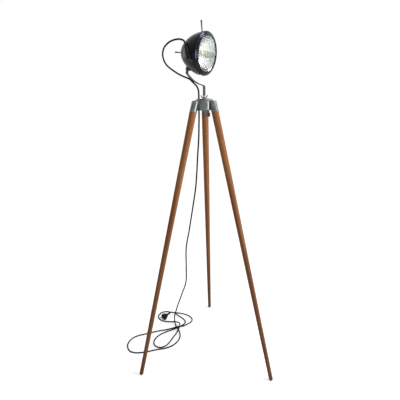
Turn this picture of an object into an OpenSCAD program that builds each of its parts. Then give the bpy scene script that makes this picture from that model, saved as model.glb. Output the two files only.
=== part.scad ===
// Tripod spotlight floor lamp: a car-headlamp bowl on a bent steel strap, on a cast head
// with three turned wooden legs, with its black mains cord and moulded plug.
// Units are millimetres. +Z is up and z = 0 is the floor. -Y is the way the lamp shines.
// The origin is the middle of the footprint's box on the floor, a quarter of the foot
// circle's radius in front of the tripod's own axis.

/* [Show] */

/* [Legs] */
// Radius of the circle that the three feet stand on
foot_r = 358; // [330:1:390]
// Height of the shoulder where each leg goes into its socket
shoulder_z = 1218.5; // [1100:0.5:1300]
// Distance of a leg's centreline from the tripod's axis at that shoulder
shoulder_r = 53; // [51:0.5:56]
// Diameter of a leg at its shoulder
leg_top_d = 30; // [28:0.5:31]
// Diameter of a leg just above its foot
leg_tip_d = 18.5; // [16:0.5:22]
// Diameter of the turned tenon inside the socket
tenon_d = 23.9; // [20:0.1:25]
// Length of the tenon
tenon_l = 41; // [30:1:41]

/* [Tripod head] */
// Outside diameter of the cast drum
drum_d = 72; // [70:1:76]
// Height of the drum from its underside to the top of the raised disc
drum_h = 45; // [42:0.5:50]
// Diameter of the raised disc at its foot
disc_d = 77; // [74:1:80]
// Diameter of the raised disc's flat top
disc_top_d = 61; // [56:1:66]
// Height of the raised disc
disc_h = 8; // [6:0.5:10]
// Outside diameter of a leg socket
socket_d = 31; // [31:0.5:33]
// Diameter of the cord hole through the drum
cord_hole_d = 11; // [10.5:0.1:12]
// Distance of the cord hole from the tripod's axis
cord_hole_y = 27; // [26:0.5:28]
// Distance of the clamp bolt from the tripod's axis
clamp_y = 17.4; // [17:0.1:19]
// Height of the big hexagonal nut under the drum
clamp_nut_h = 16; // [10:0.5:18]
// Width of that nut across its flats
clamp_nut_af = 18; // [14:0.5:20]

/* [Bracket] */
// Width of the steel strap
strap_w = 16; // [14:0.5:20]
// Thickness of the steel strap
strap_t = 3; // [2.5:0.1:4]
// Radius of the long cradle curve below the lamp
strap_r = 146; // [130:1:160]
// Diameter of the swivel stud
stud_d = 8; // [7:0.5:9]
// Span of the wing nut over its two wings
wing_span = 31; // [28:0.5:34]
// Diameter of the tilt bolt
tilt_bolt_d = 5; // [4:0.5:5.5]
// Outside diameter of the strap's rolled eye
eye_d = 11; // [10.5:0.5:12]

/* [Lamp] */
// Radius of the shell at its mouth
shell_r = 79.4; // [75:0.1:82]
// Depth of the shell behind its mouth
shell_l = 113; // [108:0.5:118]
// Sheet thickness of the shell
shell_t = 1.2; // [1:0.1:1.6]
// How far the lamp looks down, in degrees
look_down = 7.7; // [5:0.1:10]
// Sheet thickness of the rim
rim_t = 1.2; // [1:0.1:1.4]
// Radius of the lens that shows inside the rim
lens_r = 64.4; // [62:0.1:66]
// How far the lens bulges forward
lens_bulge = 8.5; // [6:0.5:10]
// How far behind the mouth's plane the tilt hinge sits
hinge_s = 83.9; // [82:0.1:87]
// How far the hinge sits below the shell's outside
hinge_drop = 9.6; // [9.4:0.1:12]
// Width of the rubber ring behind the lens's flange
gasket_w = 10.8; // [8:0.1:11.5]
// Focal length of the reflector
focal = 22; // [21.5:0.1:23]
// Length of the top handle above the shell
handle_l = 43; // [30:1:60]
// Length of the switch lever behind its bush
lever_l = 34; // [25:1:40]

/* [Cord] */
// Diameter of the mains cord
cord_d = 7; // [6.5:0.1:7]
// Diameter of the plug's round face
plug_d = 38; // [36:1:39]

/* [Hidden] */

$fn = 64;
EPS = 0.01;
fit = 0.05;          // radial clearance of a fit
seat = 0.3;          // gap that a piece keeps from a curved seat
axis_y = foot_r / 4; // the tripod's axis stands this far behind the origin

// Legs: the ball end's centre stands a little lower than its radius, so a flat is worn on it.
tip_r = leg_tip_d / 2;
tip_z = tip_r - 0.8;
splay = atan((foot_r - shoulder_r) / (shoulder_z - tip_z));
leg_l = (shoulder_z - tip_z) / cos(splay);
// Front, back right and back left, each the direction from the axis to the foot
front_a = 270;
right_a = 30;
left_a = 150;

// Tripod head
drum_z = shoulder_z + 8.5;
top_z = drum_z + drum_h;
disc_z = top_z - disc_h;
socket_top_z = disc_z + 1;
screw_l = leg_l + tenon_l + 4;
recess_r = 12;
recess_z = drum_z + 23;
clamp_r = 4;
clamp_nut_z = drum_z - 10;

// Swivel: everything on the stud, upwards from the disc's top
washer_t = 1.6;
wing_z = top_z + washer_t;
wing_body_h = 6.5;
stud_bottom = recess_z - 11;
strap_foot_z = top_z + 12;
stud_top = strap_foot_z + 8;

// Strap: its centreline is a riser, a sharp bend, the long curve, a tight bend and the tail
riser_top = top_z + 48;
corner_r = 4.5;
corner_a = 13;
curve_a = 50;
hook_r = 9;
hook_a = 130;
tail_l = 8;
corner_end = [corner_r * (1 - cos(90 - corner_a)), riser_top + corner_r * sin(90 - corner_a)];
curve_end = corner_end + strap_r * [sin(curve_a) - sin(corner_a), cos(corner_a) - cos(curve_a)];
hook_end = curve_end + hook_r * [sin(hook_a) - sin(curve_a), cos(curve_a) - cos(hook_a)];
pivot = hook_end + tail_l * [cos(hook_a), sin(hook_a)];

// Lamp: its own frame has +Z to the rear along the lamp's axis and +Y downwards. The hinge
// hangs below the shell, so the shell's size sets where the lamp's frame stands over it.
mouth_s = 6;
bowl_n = 1.75;
hinge_y = bowl(shell_r, shell_l, hinge_s - mouth_s) + hinge_drop;
lamp_y = pivot[0] - hinge_y * sin(look_down) - hinge_s * cos(look_down);
lamp_z = pivot[1] + hinge_y * cos(look_down) - hinge_s * sin(look_down);
pole_s = mouth_s + shell_l - 1.5;
inner_r = shell_r - shell_t;
inner_l = shell_l - shell_t;
pad_s = pole_s - shell_t;
tab_s = pad_s - 30;
dish_r = lens_r - 1.9;
reflector_s = mouth_s + dish_r * dish_r / (4 * focal) + 0.6;

// Saddle under the shell and the ears that hold the tilt bolt
saddle_t = 2;
ear_t = 2.5;
ear_in = strap_w / 2 + 0.5;
ear_r = 6.2;
saddle_from = 26;
saddle_to = hinge_s - 8;

// Cord boot on the shell's left flank, lower half
boot_s = 17.5;
boot_a = 66;
boot_lift = 3.4;
boot_tilt = 46;
boot_turn = 222;
boot_l = 14;

// Rear edge of the rim's skirt
rim_end = mouth_s + 4.6;

// Handle on top of the shell
handle_s = 31;
handle_lean = 12;

// The cord's route, as points of its centreline. x, y and z are from the tripod's axis
// on the floor. The first list runs from inside the drum up under the strap, the second
// from there over the back of the lamp to the boot, and the third from inside the drum
// down to the floor, round its loops there and into the plug.
foot_route = [[0, 27, 1250], [0, 27, 1275], [0, 27, 1292], [0, 29, 1308], [0, 36, 1322],
              [0, 47, 1332]];
loop_route = [[0, 58, 1341], [0, 70, 1351], [-1, 85, 1358], [-2, 102, 1364], [-6, 129, 1377],
              [-11.5, 159, 1396], [-17, 177.5, 1412], [-22.5, 187, 1430], [-28, 188.5, 1450],
              [-34, 180, 1468], [-40, 163.5, 1482], [-44, 139, 1493], [-47, 115, 1497.5],
              [-50, 93, 1498], [-54, 73, 1495], [-61, 53, 1487.5], [-70.5, 38, 1473],
              [-79.5, 30.5, 1458], [-84, 26.5, 1449.5], [-86, 23.5, 1440.5], [-85.8, 20, 1429]];
floor_route = [[0, 27, 1250], [0, 27, 1225], [-1, 28, 1160], [0, 32, 1095], [1, 39, 1030],
               [3, 46, 960], [6, 57, 880], [9, 78, 780], [13, 105, 660], [18, 131, 553],
               [30, 144, 440], [43, 159, 335], [48, 194, 242], [53, 228, 160], [60, 252, 100],
               [66, 267, 62], [66, 271, 34], [58, 262, 13], [46, 244, 4.5], [33, 220, 3.6],
               [17, 196, 3.6], [-6, 176, 3.6], [-36, 165, 3.6], [-71, 165, 3.6],
               [-102, 176, 3.6], [-127, 194, 3.6], [-146, 214, 3.6], [-168, 234, 3.6],
               [-190, 252, 3.6], [-212, 275, 3.6], [-231, 302, 3.6], [-238, 331, 3.6],
               [-228, 360, 3.6], [-204, 383, 3.6], [-172, 391, 3.6], [-139, 383, 3.6],
               [-106, 360, 3.6], [-71, 332, 3.6], [-37, 305, 3.6], [-7, 276, 4],
               [20, 248, 9], [44, 228, 11.5], [70, 213, 3.6], [98, 201, 3.6],
               [127, 194, 3.6], [151, 204, 3.6], [163, 229, 3.6], [164, 260, 3.6],
               [157, 292, 3.6], [145, 322, 3.6], [132, 353, 3.6], [120, 382, 3.6],
               [98, 399, 3.6], [70, 399, 3.6], [48, 381, 3.6], [40, 351, 3.6],
               [48, 321, 3.6], [61, 295, 5], [71, 270, 9], [70, 244, 15], [56, 224, 20.5],
               [31, 213, 13], [-2, 208, 4], [-38, 203, 3.6], [-75, 197, 3.6],
               [-107, 199, 3.6], [-130, 214, 3.6], [-137, 240, 3.6], [-125, 266, 3.6],
               [-98, 280, 3.6], [-64, 281, 3.6], [-30, 269, 4], [0, 248, 8],
               [27, 229, 11.5], [53, 217, 12.5], [79, 213, 11.5], [103, 219, 6],
               [119, 239, 3.8], [127, 268, 3.6], [130, 295, 5], [131, 315, 10],
               [126, 330, 15], [118, 337, 18.3]];
// The plug lies with its face to the left: the face's centre and the way its cord leaves
plug_at = [53, 348, plug_d / 2 + 0.3];
plug_turn = -8;
relief_from = 33;
relief_end = relief_from + 22;
cord_sides = 10;

// ---------------------------------------------------------------- helpers

// Points of a tube's wall: one ring of n points round each point of the route.
// Each ring is square to the route's direction there, with its first point near +Z or +X.
function way(p, i) = let(a = p[max(i - 1, 0)], b = p[min(i + 1, len(p) - 1)]) (b - a) / norm(b - a);
function side_of(d) = let(s = abs(d[2]) > 0.9 ? cross([1, 0, 0], d) : cross([0, 0, 1], d)) s / norm(s);

// The side direction of every ring, each the one before it with its twist taken out.
function sides_of(p, i = 0, s = undef) =
    i == len(p) ? [] :
    let(d = way(p, i), v = i == 0 ? side_of(d) : s - (s * d) * d, w = v / norm(v))
    concat([w], sides_of(p, i + 1, w));

function ring(c, d, s, r, n) =
    let(t = cross(d, s)) [for (k = [0:n - 1]) c + r * (cos(360 * k / n) * s + sin(360 * k / n) * t)];

// Draws the stretch of the route from one of its points to another.
module tube(route, d, first = 0, last = undef, n = cord_sides) {
    end = last == undef ? len(route) - 1 : last;
    m = end - first + 1;
    s = sides_of(route);
    points = [for (i = [first:end]) each ring(route[i], way(route, i), s[i], d / 2, n)];
    walls = [for (i = [0:m - 2], k = [0:n - 1]) let(j = (k + 1) % n, a = i * n, b = a + n)
             each [[a + k, b + k, b + j], [a + k, b + j, a + j]]];
    polyhedron(points, concat([[for (k = [0:n - 1]) k]], walls,
                              [[for (k = [n - 1:-1:0]) (m - 1) * n + k]]));
}

// Moves what is drawn about the tripod's axis into the part's frame.
module on_axis() { translate([0, axis_y, 0]) children(); }

// A leg's own frame: the origin is the ball end's centre and +Z runs up the leg.
module on_leg(a) {
    on_axis() rotate([0, 0, a]) translate([foot_r, 0, tip_z]) rotate([0, -splay, 0]) children();
}

// The lamp's frame: the origin is the middle of the mouth, +Z to the rear, +Y down.
module on_lamp() {
    on_axis() translate([0, lamp_y, lamp_z]) rotate([look_down - 90, 0, 0]) children();
}

module ring_of(r_out, r_in, h) {
    difference() {
        cylinder(h = h, r = r_out);
        translate([0, 0, -1]) cylinder(h = h + 2, r = r_in);
    }
}

module hexagon(af, h) { cylinder(h = h, d = af / cos(30), $fn = 6); }

// Radius of a bowl of mouth radius r and depth l, at the depth s behind its mouth
function bowl(r, l, s) = r * pow(max(0, 1 - pow(max(0, s) / l, bowl_n)), 1 / bowl_n);

// The bowl's outline as [radius, place along the lamp's axis], from mouth to the flat pole
function bowl_line(r, l, last, n) =
    [for (i = [0:n]) let(s = (last - mouth_s) * sin(90 * i / n)) [bowl(r, l, s), mouth_s + s]];

// A solid bowl whose sheet stands off the shell's outside by gap
module solid_bowl(gap) {
    rotate_extrude($fn = 128)
        polygon(concat([[0, mouth_s - 3], [shell_r + gap, mouth_s - 3]],
                       bowl_line(shell_r + gap, shell_l + gap, pole_s + gap, 28),
                       [[0, pole_s + gap]]));
}

// ---------------------------------------------------------------- tripod

module leg(a) {
    color([0.62, 0.38, 0.2]) difference() {
        on_leg(a) difference() {
            union() {
                sphere(r = tip_r);
                cylinder(h = leg_l, r1 = tip_r, r2 = leg_top_d / 2);
                cylinder(h = leg_l + tenon_l, d = tenon_d);
            }
            translate([0, 0, leg_l + tenon_l - 24]) cylinder(h = 30, r = 2);
        }
        translate([-500, -500, -20]) cube([1000, 1100, 20]);
    }
}
module leg_front() { leg(front_a); }
module leg_right() { leg(right_a); }
module leg_left() { leg(left_a); }

module leg_screws() {
    color([0.75, 0.75, 0.72]) for (a = [front_a, right_a, left_a]) on_leg(a) {
        translate([0, 0, screw_l]) difference() {
            cylinder(h = 2.4, r = 3.9);
            translate([-3, -0.5, 1.4]) cube([6, 1, 2]);
        }
        translate([0, 0, screw_l - 26]) cylinder(h = 26 + EPS, r = 1.95);
    }
}

module tripod_head() {
    color([0.6, 0.62, 0.64]) difference() {
        union() {
            on_axis() {
                translate([0, 0, drum_z]) cylinder(h = disc_z - drum_z + 1, d = drum_d, $fn = 96);
                translate([0, 0, disc_z]) cylinder(h = 3, d = disc_d, $fn = 96);
                translate([0, 0, disc_z + 3])
                    cylinder(h = disc_h - 3, d1 = disc_d, d2 = disc_top_d, $fn = 96);
            }
            intersection() {
                for (a = [front_a, right_a, left_a]) on_leg(a)
                    translate([0, 0, leg_l]) cylinder(h = 70, d = socket_d);
                translate([-100, -100, shoulder_z - 20])
                    cube([200, 300, socket_top_z - shoulder_z + 20]);
            }
        }
        for (a = [front_a, right_a, left_a]) on_leg(a) {
            translate([0, 0, leg_l - 5]) cylinder(h = tenon_l + 5 + EPS, d = tenon_d + 2 * fit);
            translate([0, 0, leg_l]) cylinder(h = tenon_l + 10, r = 2);
            translate([0, 0, screw_l]) cylinder(h = 12, r = 4);
        }
        on_axis() {
            translate([0, 0, drum_z - 1]) cylinder(h = drum_h + 2, d = stud_d + 2 * fit);
            translate([0, 0, drum_z - 1]) cylinder(h = recess_z - drum_z + 1, r = recess_r);
            translate([0, cord_hole_y, drum_z - 1]) cylinder(h = drum_h + 2, d = cord_hole_d);
            translate([0, -clamp_y, drum_z - 1]) cylinder(h = drum_h + 2, r = clamp_r + fit);
        }
    }
}

// Low round head on the disc, the shank through the drum and its end below the nut
module clamp_bolt() {
    color([0.5, 0.5, 0.5]) on_axis() translate([0, -clamp_y, 0]) {
        translate([0, 0, clamp_nut_z - clamp_nut_h - 1])
            cylinder(h = top_z - clamp_nut_z + clamp_nut_h + 1.5, r = clamp_r);
        translate([0, 0, top_z]) intersection() {
            cylinder(h = 1.9, r = 6);
            translate([0, 0, -10]) sphere(r = 11.8);
        }
    }
}

module clamp_nut() {
    color([0.45, 0.45, 0.43]) on_axis() translate([0, -clamp_y, clamp_nut_z - clamp_nut_h])
        difference() {
            union() {
                hexagon(clamp_nut_af, clamp_nut_h);
                translate([0, 0, clamp_nut_h - EPS]) cylinder(h = drum_z - clamp_nut_z + EPS, r = 6);
            }
            translate([0, 0, -1]) cylinder(h = clamp_nut_h + 20, r = clamp_r + fit);
        }
}

// Rubber sleeve through the drum, with a flange on the disc and the cord in its bore
module head_cord_bush() {
    color([0.1, 0.1, 0.1]) on_axis() translate([0, cord_hole_y, 0]) difference() {
        union() {
            translate([0, 0, drum_z - 1]) cylinder(h = drum_h + 2, d = cord_hole_d - 2 * fit);
            translate([0, 0, drum_z - 1.5]) cylinder(h = 1.5, r = 7.2);
            translate([0, 0, top_z]) cylinder(h = 1.5, r = 7.2);
        }
        translate([0, 0, drum_z - 5]) cylinder(h = drum_h + 10, d = cord_d + 2 * fit);
    }
}

// ---------------------------------------------------------------- bracket

// Centreline of the strap, as [y, z], with a point every few degrees of each bend
strap_line = concat(
    [[0, strap_foot_z]],
    [for (k = [0:6]) let(a = 90 - (90 - corner_a) * k / 6)
        [corner_r - corner_r * sin(a), riser_top + corner_r * cos(a)]],
    [for (k = [1:12]) let(a = corner_a + (curve_a - corner_a) * k / 12)
        corner_end + strap_r * [sin(a) - sin(corner_a), cos(corner_a) - cos(a)]],
    [for (k = [1:10]) let(a = curve_a + (hook_a - curve_a) * k / 10)
        curve_end + hook_r * [sin(a) - sin(curve_a), cos(curve_a) - cos(a)]],
    [pivot - (eye_d / 2 - 1.5) * [cos(hook_a), sin(hook_a)]]);

// The line moved sideways by w
function beside(p, w) = [for (i = [0:len(p) - 1]) let(d = way(p, i)) p[i] + w * [-d[1], d[0]]];
function backwards(p) = [for (i = [len(p) - 1:-1:0]) p[i]];

// Turns a drawing of [y, z] into a plate of width w, centred on x = 0.
module across(w) {
    translate([-w / 2, 0, 0]) rotate([90, 0, 90]) linear_extrude(height = w) children();
}

module strap() {
    color([0.25, 0.26, 0.27]) on_axis() difference() {
        union() {
            across(strap_w) polygon(concat(beside(strap_line, strap_t / 2),
                                           backwards(beside(strap_line, -strap_t / 2))));
            across(strap_w) translate(pivot) circle(d = eye_d, $fn = 48);
        }
        across(strap_w + 2) translate(pivot) circle(d = tilt_bolt_d + 2 * fit, $fn = 48);
    }
}

// Threaded stud with a slot across its top, where the strap's foot is welded in
module swivel_stud() {
    color([0.7, 0.7, 0.7]) on_axis() difference() {
        translate([0, 0, stud_bottom]) cylinder(h = stud_top - stud_bottom, d = stud_d);
        translate([-stud_d, -strap_t / 2, strap_foot_z]) cube([2 * stud_d, strap_t, 20]);
    }
}

module wing() {
    rotate([90, 0, 0]) translate([0, 0, -1.6]) linear_extrude(height = 3.2)
        polygon([[6, 0.5], [8, 0.5], [11.5, 5], [wing_span / 2, 11], [wing_span / 2 - 1.5, 13],
                 [wing_span / 2 - 4, 12.6], [wing_span / 2 - 6.3, 9], [6, wing_body_h]]);
}

module wing_nut() {
    color([0.5, 0.36, 0.26]) on_axis() translate([0, 0, wing_z]) rotate([0, 0, -57])
        difference() {
            union() {
                cylinder(h = wing_body_h, r1 = 8, r2 = 6.6);
                wing();
                rotate([0, 0, 180]) wing();
            }
            translate([0, 0, -1]) cylinder(h = 20, d = stud_d + 2 * fit);
        }
}

module swivel_washer() {
    color([0.75, 0.75, 0.75]) on_axis() {
        translate([0, 0, top_z]) ring_of(9.5, stud_d / 2 + fit, washer_t);
        translate([0, 0, recess_z - washer_t]) ring_of(8, stud_d / 2 + fit, washer_t);
    }
}

module swivel_lock_nut() {
    color([0.6, 0.6, 0.6]) on_axis() translate([0, 0, recess_z - washer_t - 6.5]) difference() {
        hexagon(13, 6.5);
        translate([0, 0, -1]) cylinder(h = 9, d = stud_d + 2 * fit);
    }
}

// ---------------------------------------------------------------- tilt

ear_out = ear_in + ear_t;

module tilt_bolt() {
    color([0.55, 0.55, 0.55]) on_axis() translate([0, pivot[0], pivot[1]]) rotate([0, 90, 0]) {
        translate([0, 0, -ear_out - 5.5]) cylinder(h = 2 * ear_out + 5.5 + EPS, d = tilt_bolt_d, $fn = 48);
        translate([0, 0, ear_out]) hexagon(8, 3.5);
    }
}

module tilt_nut() {
    color([0.55, 0.55, 0.55]) on_axis() translate([-ear_out - 4, pivot[0], pivot[1]])
        rotate([0, 90, 0]) difference() {
            hexagon(8, 4);
            translate([0, 0, -1]) cylinder(h = 6, d = tilt_bolt_d + 2 * fit, $fn = 48);
        }
}

// Curved plate on the shell's underside, with two ears for the tilt bolt at its rear end
module saddle() {
    color([0.22, 0.23, 0.24]) on_lamp() difference() {
        union() {
            intersection() {
                solid_bowl(saddle_t + fit);
                translate([-ear_out, 20, saddle_from]) cube([2 * ear_out, 80, saddle_to - saddle_from]);
            }
            for (x = [ear_in, -ear_out]) translate([x, 0, 0]) rotate([0, 90, 0])
                linear_extrude(height = ear_t) ear_outline();
        }
        solid_bowl(fit);
        translate([-20, hinge_y, hinge_s]) rotate([0, 90, 0])
            cylinder(h = 40, d = tilt_bolt_d + 2 * fit, $fn = 48);
        rivet_places() cylinder(h = 30, r = 2, $fn = 32);
    }
}

// One ear, drawn with x as minus the lamp's z and y downwards: a round end about the hinge
// and a web from it to the shell
module ear_outline() {
    hinge = [-hinge_s, hinge_y];
    along = (ear_r - 0.2) * [-cos(lean(hinge_s)), -sin(lean(hinge_s))];
    translate(hinge) circle(r = ear_r, $fn = 48);
    polygon([hinge + along, hinge - along,
             [-hinge_s + 22, bowl(shell_r, shell_l, hinge_s - 22 - mouth_s) - 1],
             [-hinge_s - 4, bowl(shell_r, shell_l, hinge_s + 4 - mouth_s) - 1]]);
}

// Two rivets stand square to the shell's underside, on its centreline.
module rivet_places() {
    for (s = [40, 66]) {
        translate([0, bowl(shell_r, shell_l, s - mouth_s), s]) rotate([lean(s) - 90, 0, 0])
            translate([0, 0, -6]) children();
    }
}

module saddle_rivets() {
    color([0.3, 0.3, 0.3]) on_lamp() rivet_places() {
        translate([0, 0, 6 - shell_t - seat - 1.8]) cylinder(h = 1.8, r = 3.2, $fn = 32);
        translate([0, 0, 6 - shell_t - 1]) cylinder(h = shell_t + saddle_t + 1.4, r = 1.95, $fn = 32);
        translate([0, 0, 6 + saddle_t + 0.15]) cylinder(h = 1.6, r1 = 3.4, r2 = 2, $fn = 32);
    }
}

// ---------------------------------------------------------------- lamp

module shell() {
    color([0.06, 0.06, 0.06]) on_lamp() difference() {
        rotate_extrude($fn = 128) polygon(concat(
            bowl_line(shell_r, shell_l, pole_s, 28), [[0, pole_s], [0, pad_s]],
            backwards(bowl_line(inner_r, inner_l, pad_s, 28))));
        translate([0, 0, pad_s - 2]) cylinder(h = 6, r = 6);
        at_boot_hole() cylinder(h = 12, r = 5, center = true);
        at_handle() cylinder(h = 16, r = 2.5, center = true);
        rivet_places() cylinder(h = 30, r = 2, $fn = 32);
        at_rim_screw() cylinder(h = 20, r = 1.6, $fn = 32, center = true);
    }
}

// How far the bowl's outside leans in at the depth s, as an angle to the lamp's axis
function lean(s) = atan((bowl(shell_r, shell_l, s - 1 - mouth_s)
                         - bowl(shell_r, shell_l, s + 1 - mouth_s)) / 2);

// The hole in the shell's flank where the cord goes in, with +Z square to the sheet, outwards
module at_boot_hole() {
    rotate([0, 0, boot_a]) translate([0, bowl(shell_r, shell_l, boot_s - mouth_s), boot_s])
        rotate([lean(boot_s) - 90, 0, 0]) children();
}

// Where the cord ends inside the boot, a little above that hole, with +Z along its way out
boot_r = bowl(shell_r, shell_l, boot_s - mouth_s) + boot_lift * cos(lean(boot_s));
boot_at = [-boot_r * sin(boot_a), boot_r * cos(boot_a), boot_s + boot_lift * sin(lean(boot_s))];
boot_way = [sin(boot_tilt) * cos(boot_turn), sin(boot_tilt) * sin(boot_turn), cos(boot_tilt)];
module at_boot() { translate(boot_at) rotate([0, boot_tilt, boot_turn]) children(); }

// The handle's place on top of the shell, with +Z outwards
module at_handle() {
    translate([0, -bowl(shell_r, shell_l, handle_s - mouth_s), handle_s])
        rotate([90 - handle_lean, 0, 0]) children();
}

// The rim's screw goes in from below, through its skirt and the shell's mouth.
module at_rim_screw() { translate([0, shell_r, mouth_s + 2.4]) rotate([-90, 0, 0]) children(); }

// Place across the bezel, from 0 at the lens to 1 at the shell's radius
function across(k) = lens_r + k * (shell_r - lens_r);

// Half section of the rim as [radius, place along the axis]: a skirt over the shell's mouth, a
// bezel that slopes forward to the lens, a groove round it and a bead at its inner edge
module rim_section() {
    front = [[1.067, 1.8], [1, 1], [0.88, 0.1], [0.733, -1], [0.613, -1.8], [0.56, -1.7],
             [0.52, -2], [0.453, -2.9], [0.32, -4], [0.187, -4.7], [0.08, -4.5], [0.013, -3.7],
             [0, -2.8]];
    back = [[0, -2.5], [0.333, -2.5], [0.413, -1.6], [0.507, -0.6], [0.64, 0.3], [0.8, 1.1],
            [0.92, 1.9], [0.987, 2.8]];
    skirt_r = shell_r + 0.15;
    polygon(concat([[skirt_r, rim_end], [skirt_r + rim_t, rim_end], [skirt_r + rim_t, 2.8]],
                   [for (p = front) [across(p[0]), p[1]]], [for (p = back) [across(p[0]), p[1]]],
                   [[skirt_r, 3.8]]));
}

module rim() {
    color([0.12, 0.12, 0.13]) on_lamp() difference() {
        rotate_extrude($fn = 160) rim_section();
        at_rim_screw() cylinder(h = 20, r = 1.6, $fn = 32, center = true);
    }
}

module rim_screw() {
    color([0.3, 0.3, 0.3]) on_lamp() at_rim_screw() {
        translate([0, 0, -4]) cylinder(h = 5.4 + rim_t, r = 1.55, $fn = 32);
        translate([0, 0, 0.15 + rim_t]) cylinder(h = 0.9, r = 2.8, $fn = 32);
    }
}

// Glass: a flange behind the bezel, a thick wall that stands forward to the bezel's bead, and a
// shallow dome through it
dome_r = (pow(lens_r - 1, 2) + pow(lens_bulge, 2)) / (2 * lens_bulge);
lens_t = 3.2;
wall_s = -2.2;
flange_s = 1.4;
dome_s = wall_s - 0.2 + dome_r - lens_bulge;
module lens() {
    color([0.85, 0.9, 0.95]) on_lamp() difference() {
        union() {
            translate([0, 0, flange_s]) cylinder(h = lens_t - flange_s, r = shell_r - 3.4, $fn = 96);
            translate([0, 0, wall_s]) cylinder(h = lens_t - wall_s, r = across(0.3), $fn = 96);
            translate([0, 0, dome_s]) intersection() {
                sphere(r = dome_r, $fn = 160);
                translate([0, 0, -dome_r]) cylinder(h = lens_bulge + 2, r = lens_r - 0.8, $fn = 96);
            }
        }
        translate([0, 0, dome_s + lens_t]) intersection() {
            sphere(r = dome_r, $fn = 160);
            translate([0, 0, -dome_r - 5]) cylinder(h = lens_bulge + 30, r = lens_r - 6, $fn = 96);
        }
    }
}

module lens_gasket() {
    color([0.08, 0.08, 0.08]) on_lamp() translate([0, 0, lens_t])
        ring_of(shell_r - 2.2, shell_r - 2.2 - gasket_w, mouth_s - 1.2 - lens_t, $fn = 96);
}

// Paraboloid with a flange on the shell's mouth and a neck for the lamp holder
neck_r = 15.6;
neck_s = reflector_s + 7;
function dish(r) = reflector_s - r * r / (4 * focal);
module reflector() {
    rs = [for (k = [0:16]) neck_r + (dish_r - neck_r) * k / 16];
    color([0.85, 0.85, 0.85]) on_lamp() difference() {
        rotate_extrude($fn = 96) polygon(concat(
            [[neck_r, neck_s]], [for (r = rs) [r, dish(r)]],
            [[dish_r + 1.5, mouth_s - 1.2], [shell_r - 1, mouth_s - 1.2], [shell_r - 1, mouth_s],
             [dish_r + 2.5, mouth_s]],
            [for (i = [16:-1:1]) [rs[i] + 1.1, dish(rs[i]) + 0.9]],
            [[neck_r + 1.2, dish(neck_r) + 1.6], [neck_r + 1.2, neck_s]]));
    }
}

bulb_s = reflector_s - 23;
module bulb_glass() {
    color([0.95, 0.95, 0.9]) on_lamp() rotate_extrude($fn = 64) polygon(concat(
        [[0, bulb_s - 13]], [for (a = [-75:15:45]) [13 * cos(a), bulb_s + 13 * sin(a)]],
        [[7.6, bulb_s + 14], [6.8, bulb_s + 20], [0, bulb_s + 20]]));
}

module bulb_cap() {
    color([0.75, 0.72, 0.6]) on_lamp() translate([0, 0, bulb_s + 20]) {
        cylinder(h = 16, r = 6.9);
        translate([0, 0, 16 - EPS]) cylinder(h = 4, r1 = 5, r2 = 2.6);
    }
}

holder_s = bulb_s + 22;
holder_end = tab_s - seat;
module lamp_holder() {
    color([0.85, 0.83, 0.78]) on_lamp() difference() {
        union() {
            translate([0, 0, holder_s]) cylinder(h = holder_end - holder_s, r = neck_r - 0.3);
            translate([0, 0, neck_s]) cylinder(h = 2.5, r = neck_r + 3);
        }
        translate([0, 0, holder_s - 1]) cylinder(h = 20, r = 7);
    }
}

block_s = 46.5;
block_y = bowl(inner_r, inner_l, block_s + 12 - mouth_s) - 13.5;
module terminal_block() {
    color([0.9, 0.9, 0.86]) on_lamp() difference() {
        union() {
            translate([-10, block_y, block_s]) cube([20, 10, 12]);
            translate([0, block_y + 9, block_s + 3]) rotate([-90, 0, 0])
                cylinder(h = bowl(inner_r, inner_l, block_s + 5.4 - mouth_s) - seat - block_y - 9,
                         r = 2.4);
        }
        for (x = [-5, 5]) {
            translate([x, block_y + 5, block_s - 1]) cylinder(h = 14, r = 1.8);
            translate([x, block_y - 5, block_s + 6]) rotate([-90, 0, 0]) cylinder(h = 8, r = 1.5);
        }
    }
}

bush_end = pole_s + 8.5;
lever_s = pole_s + 2.5;
module switch_bush() {
    color([0.7, 0.7, 0.68]) on_lamp() difference() {
        translate([0, 0, pad_s - 8]) cylinder(h = bush_end - pad_s + 8, r = 5.95);
        translate([0, 0, pad_s - 9]) cylinder(h = 40, r = 3.8);
    }
}

module switch_body() {
    color([0.35, 0.1, 0.08]) on_lamp() difference() {
        union() {
            translate([-6.5, -10, pad_s - 24]) cube([13, 20, 16]);
            for (y = [-6, 6]) translate([-2, y - 0.4, tab_s]) cube([4, 0.8, 7]);
        }
        translate([0, 0, pad_s - 12]) cylinder(h = 10, r = 3.8);
    }
}

module switch_washer() {
    color([0.7, 0.7, 0.7]) on_lamp() translate([0, 0, pole_s]) ring_of(8.4, 6, 0.8);
}

module switch_nut() {
    color([0.62, 0.6, 0.56]) on_lamp() translate([0, 0, pole_s + 0.8]) difference() {
        hexagon(14, 2.5);
        translate([0, 0, -1]) cylinder(h = 5, r = 6);
    }
}

// Bat-shaped lever with its ball in the bush
module switch_lever() {
    color([0.5, 0.45, 0.42]) on_lamp() {
        translate([0, 0, lever_s]) sphere(r = 3.7);
        translate([0, 0, lever_s - 8]) cylinder(h = 8, r = 1.5);
        translate([0, 0, lever_s]) rotate_extrude() polygon(
            [[0, 0], [2.2, 0], [1.9, bush_end - lever_s], [3.2, bush_end - lever_s + lever_l - 5],
             [3.1, bush_end - lever_s + lever_l - 2.2], [2.2, bush_end - lever_s + lever_l - 0.6],
             [0, bush_end - lever_s + lever_l]]);
    }
}

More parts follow.
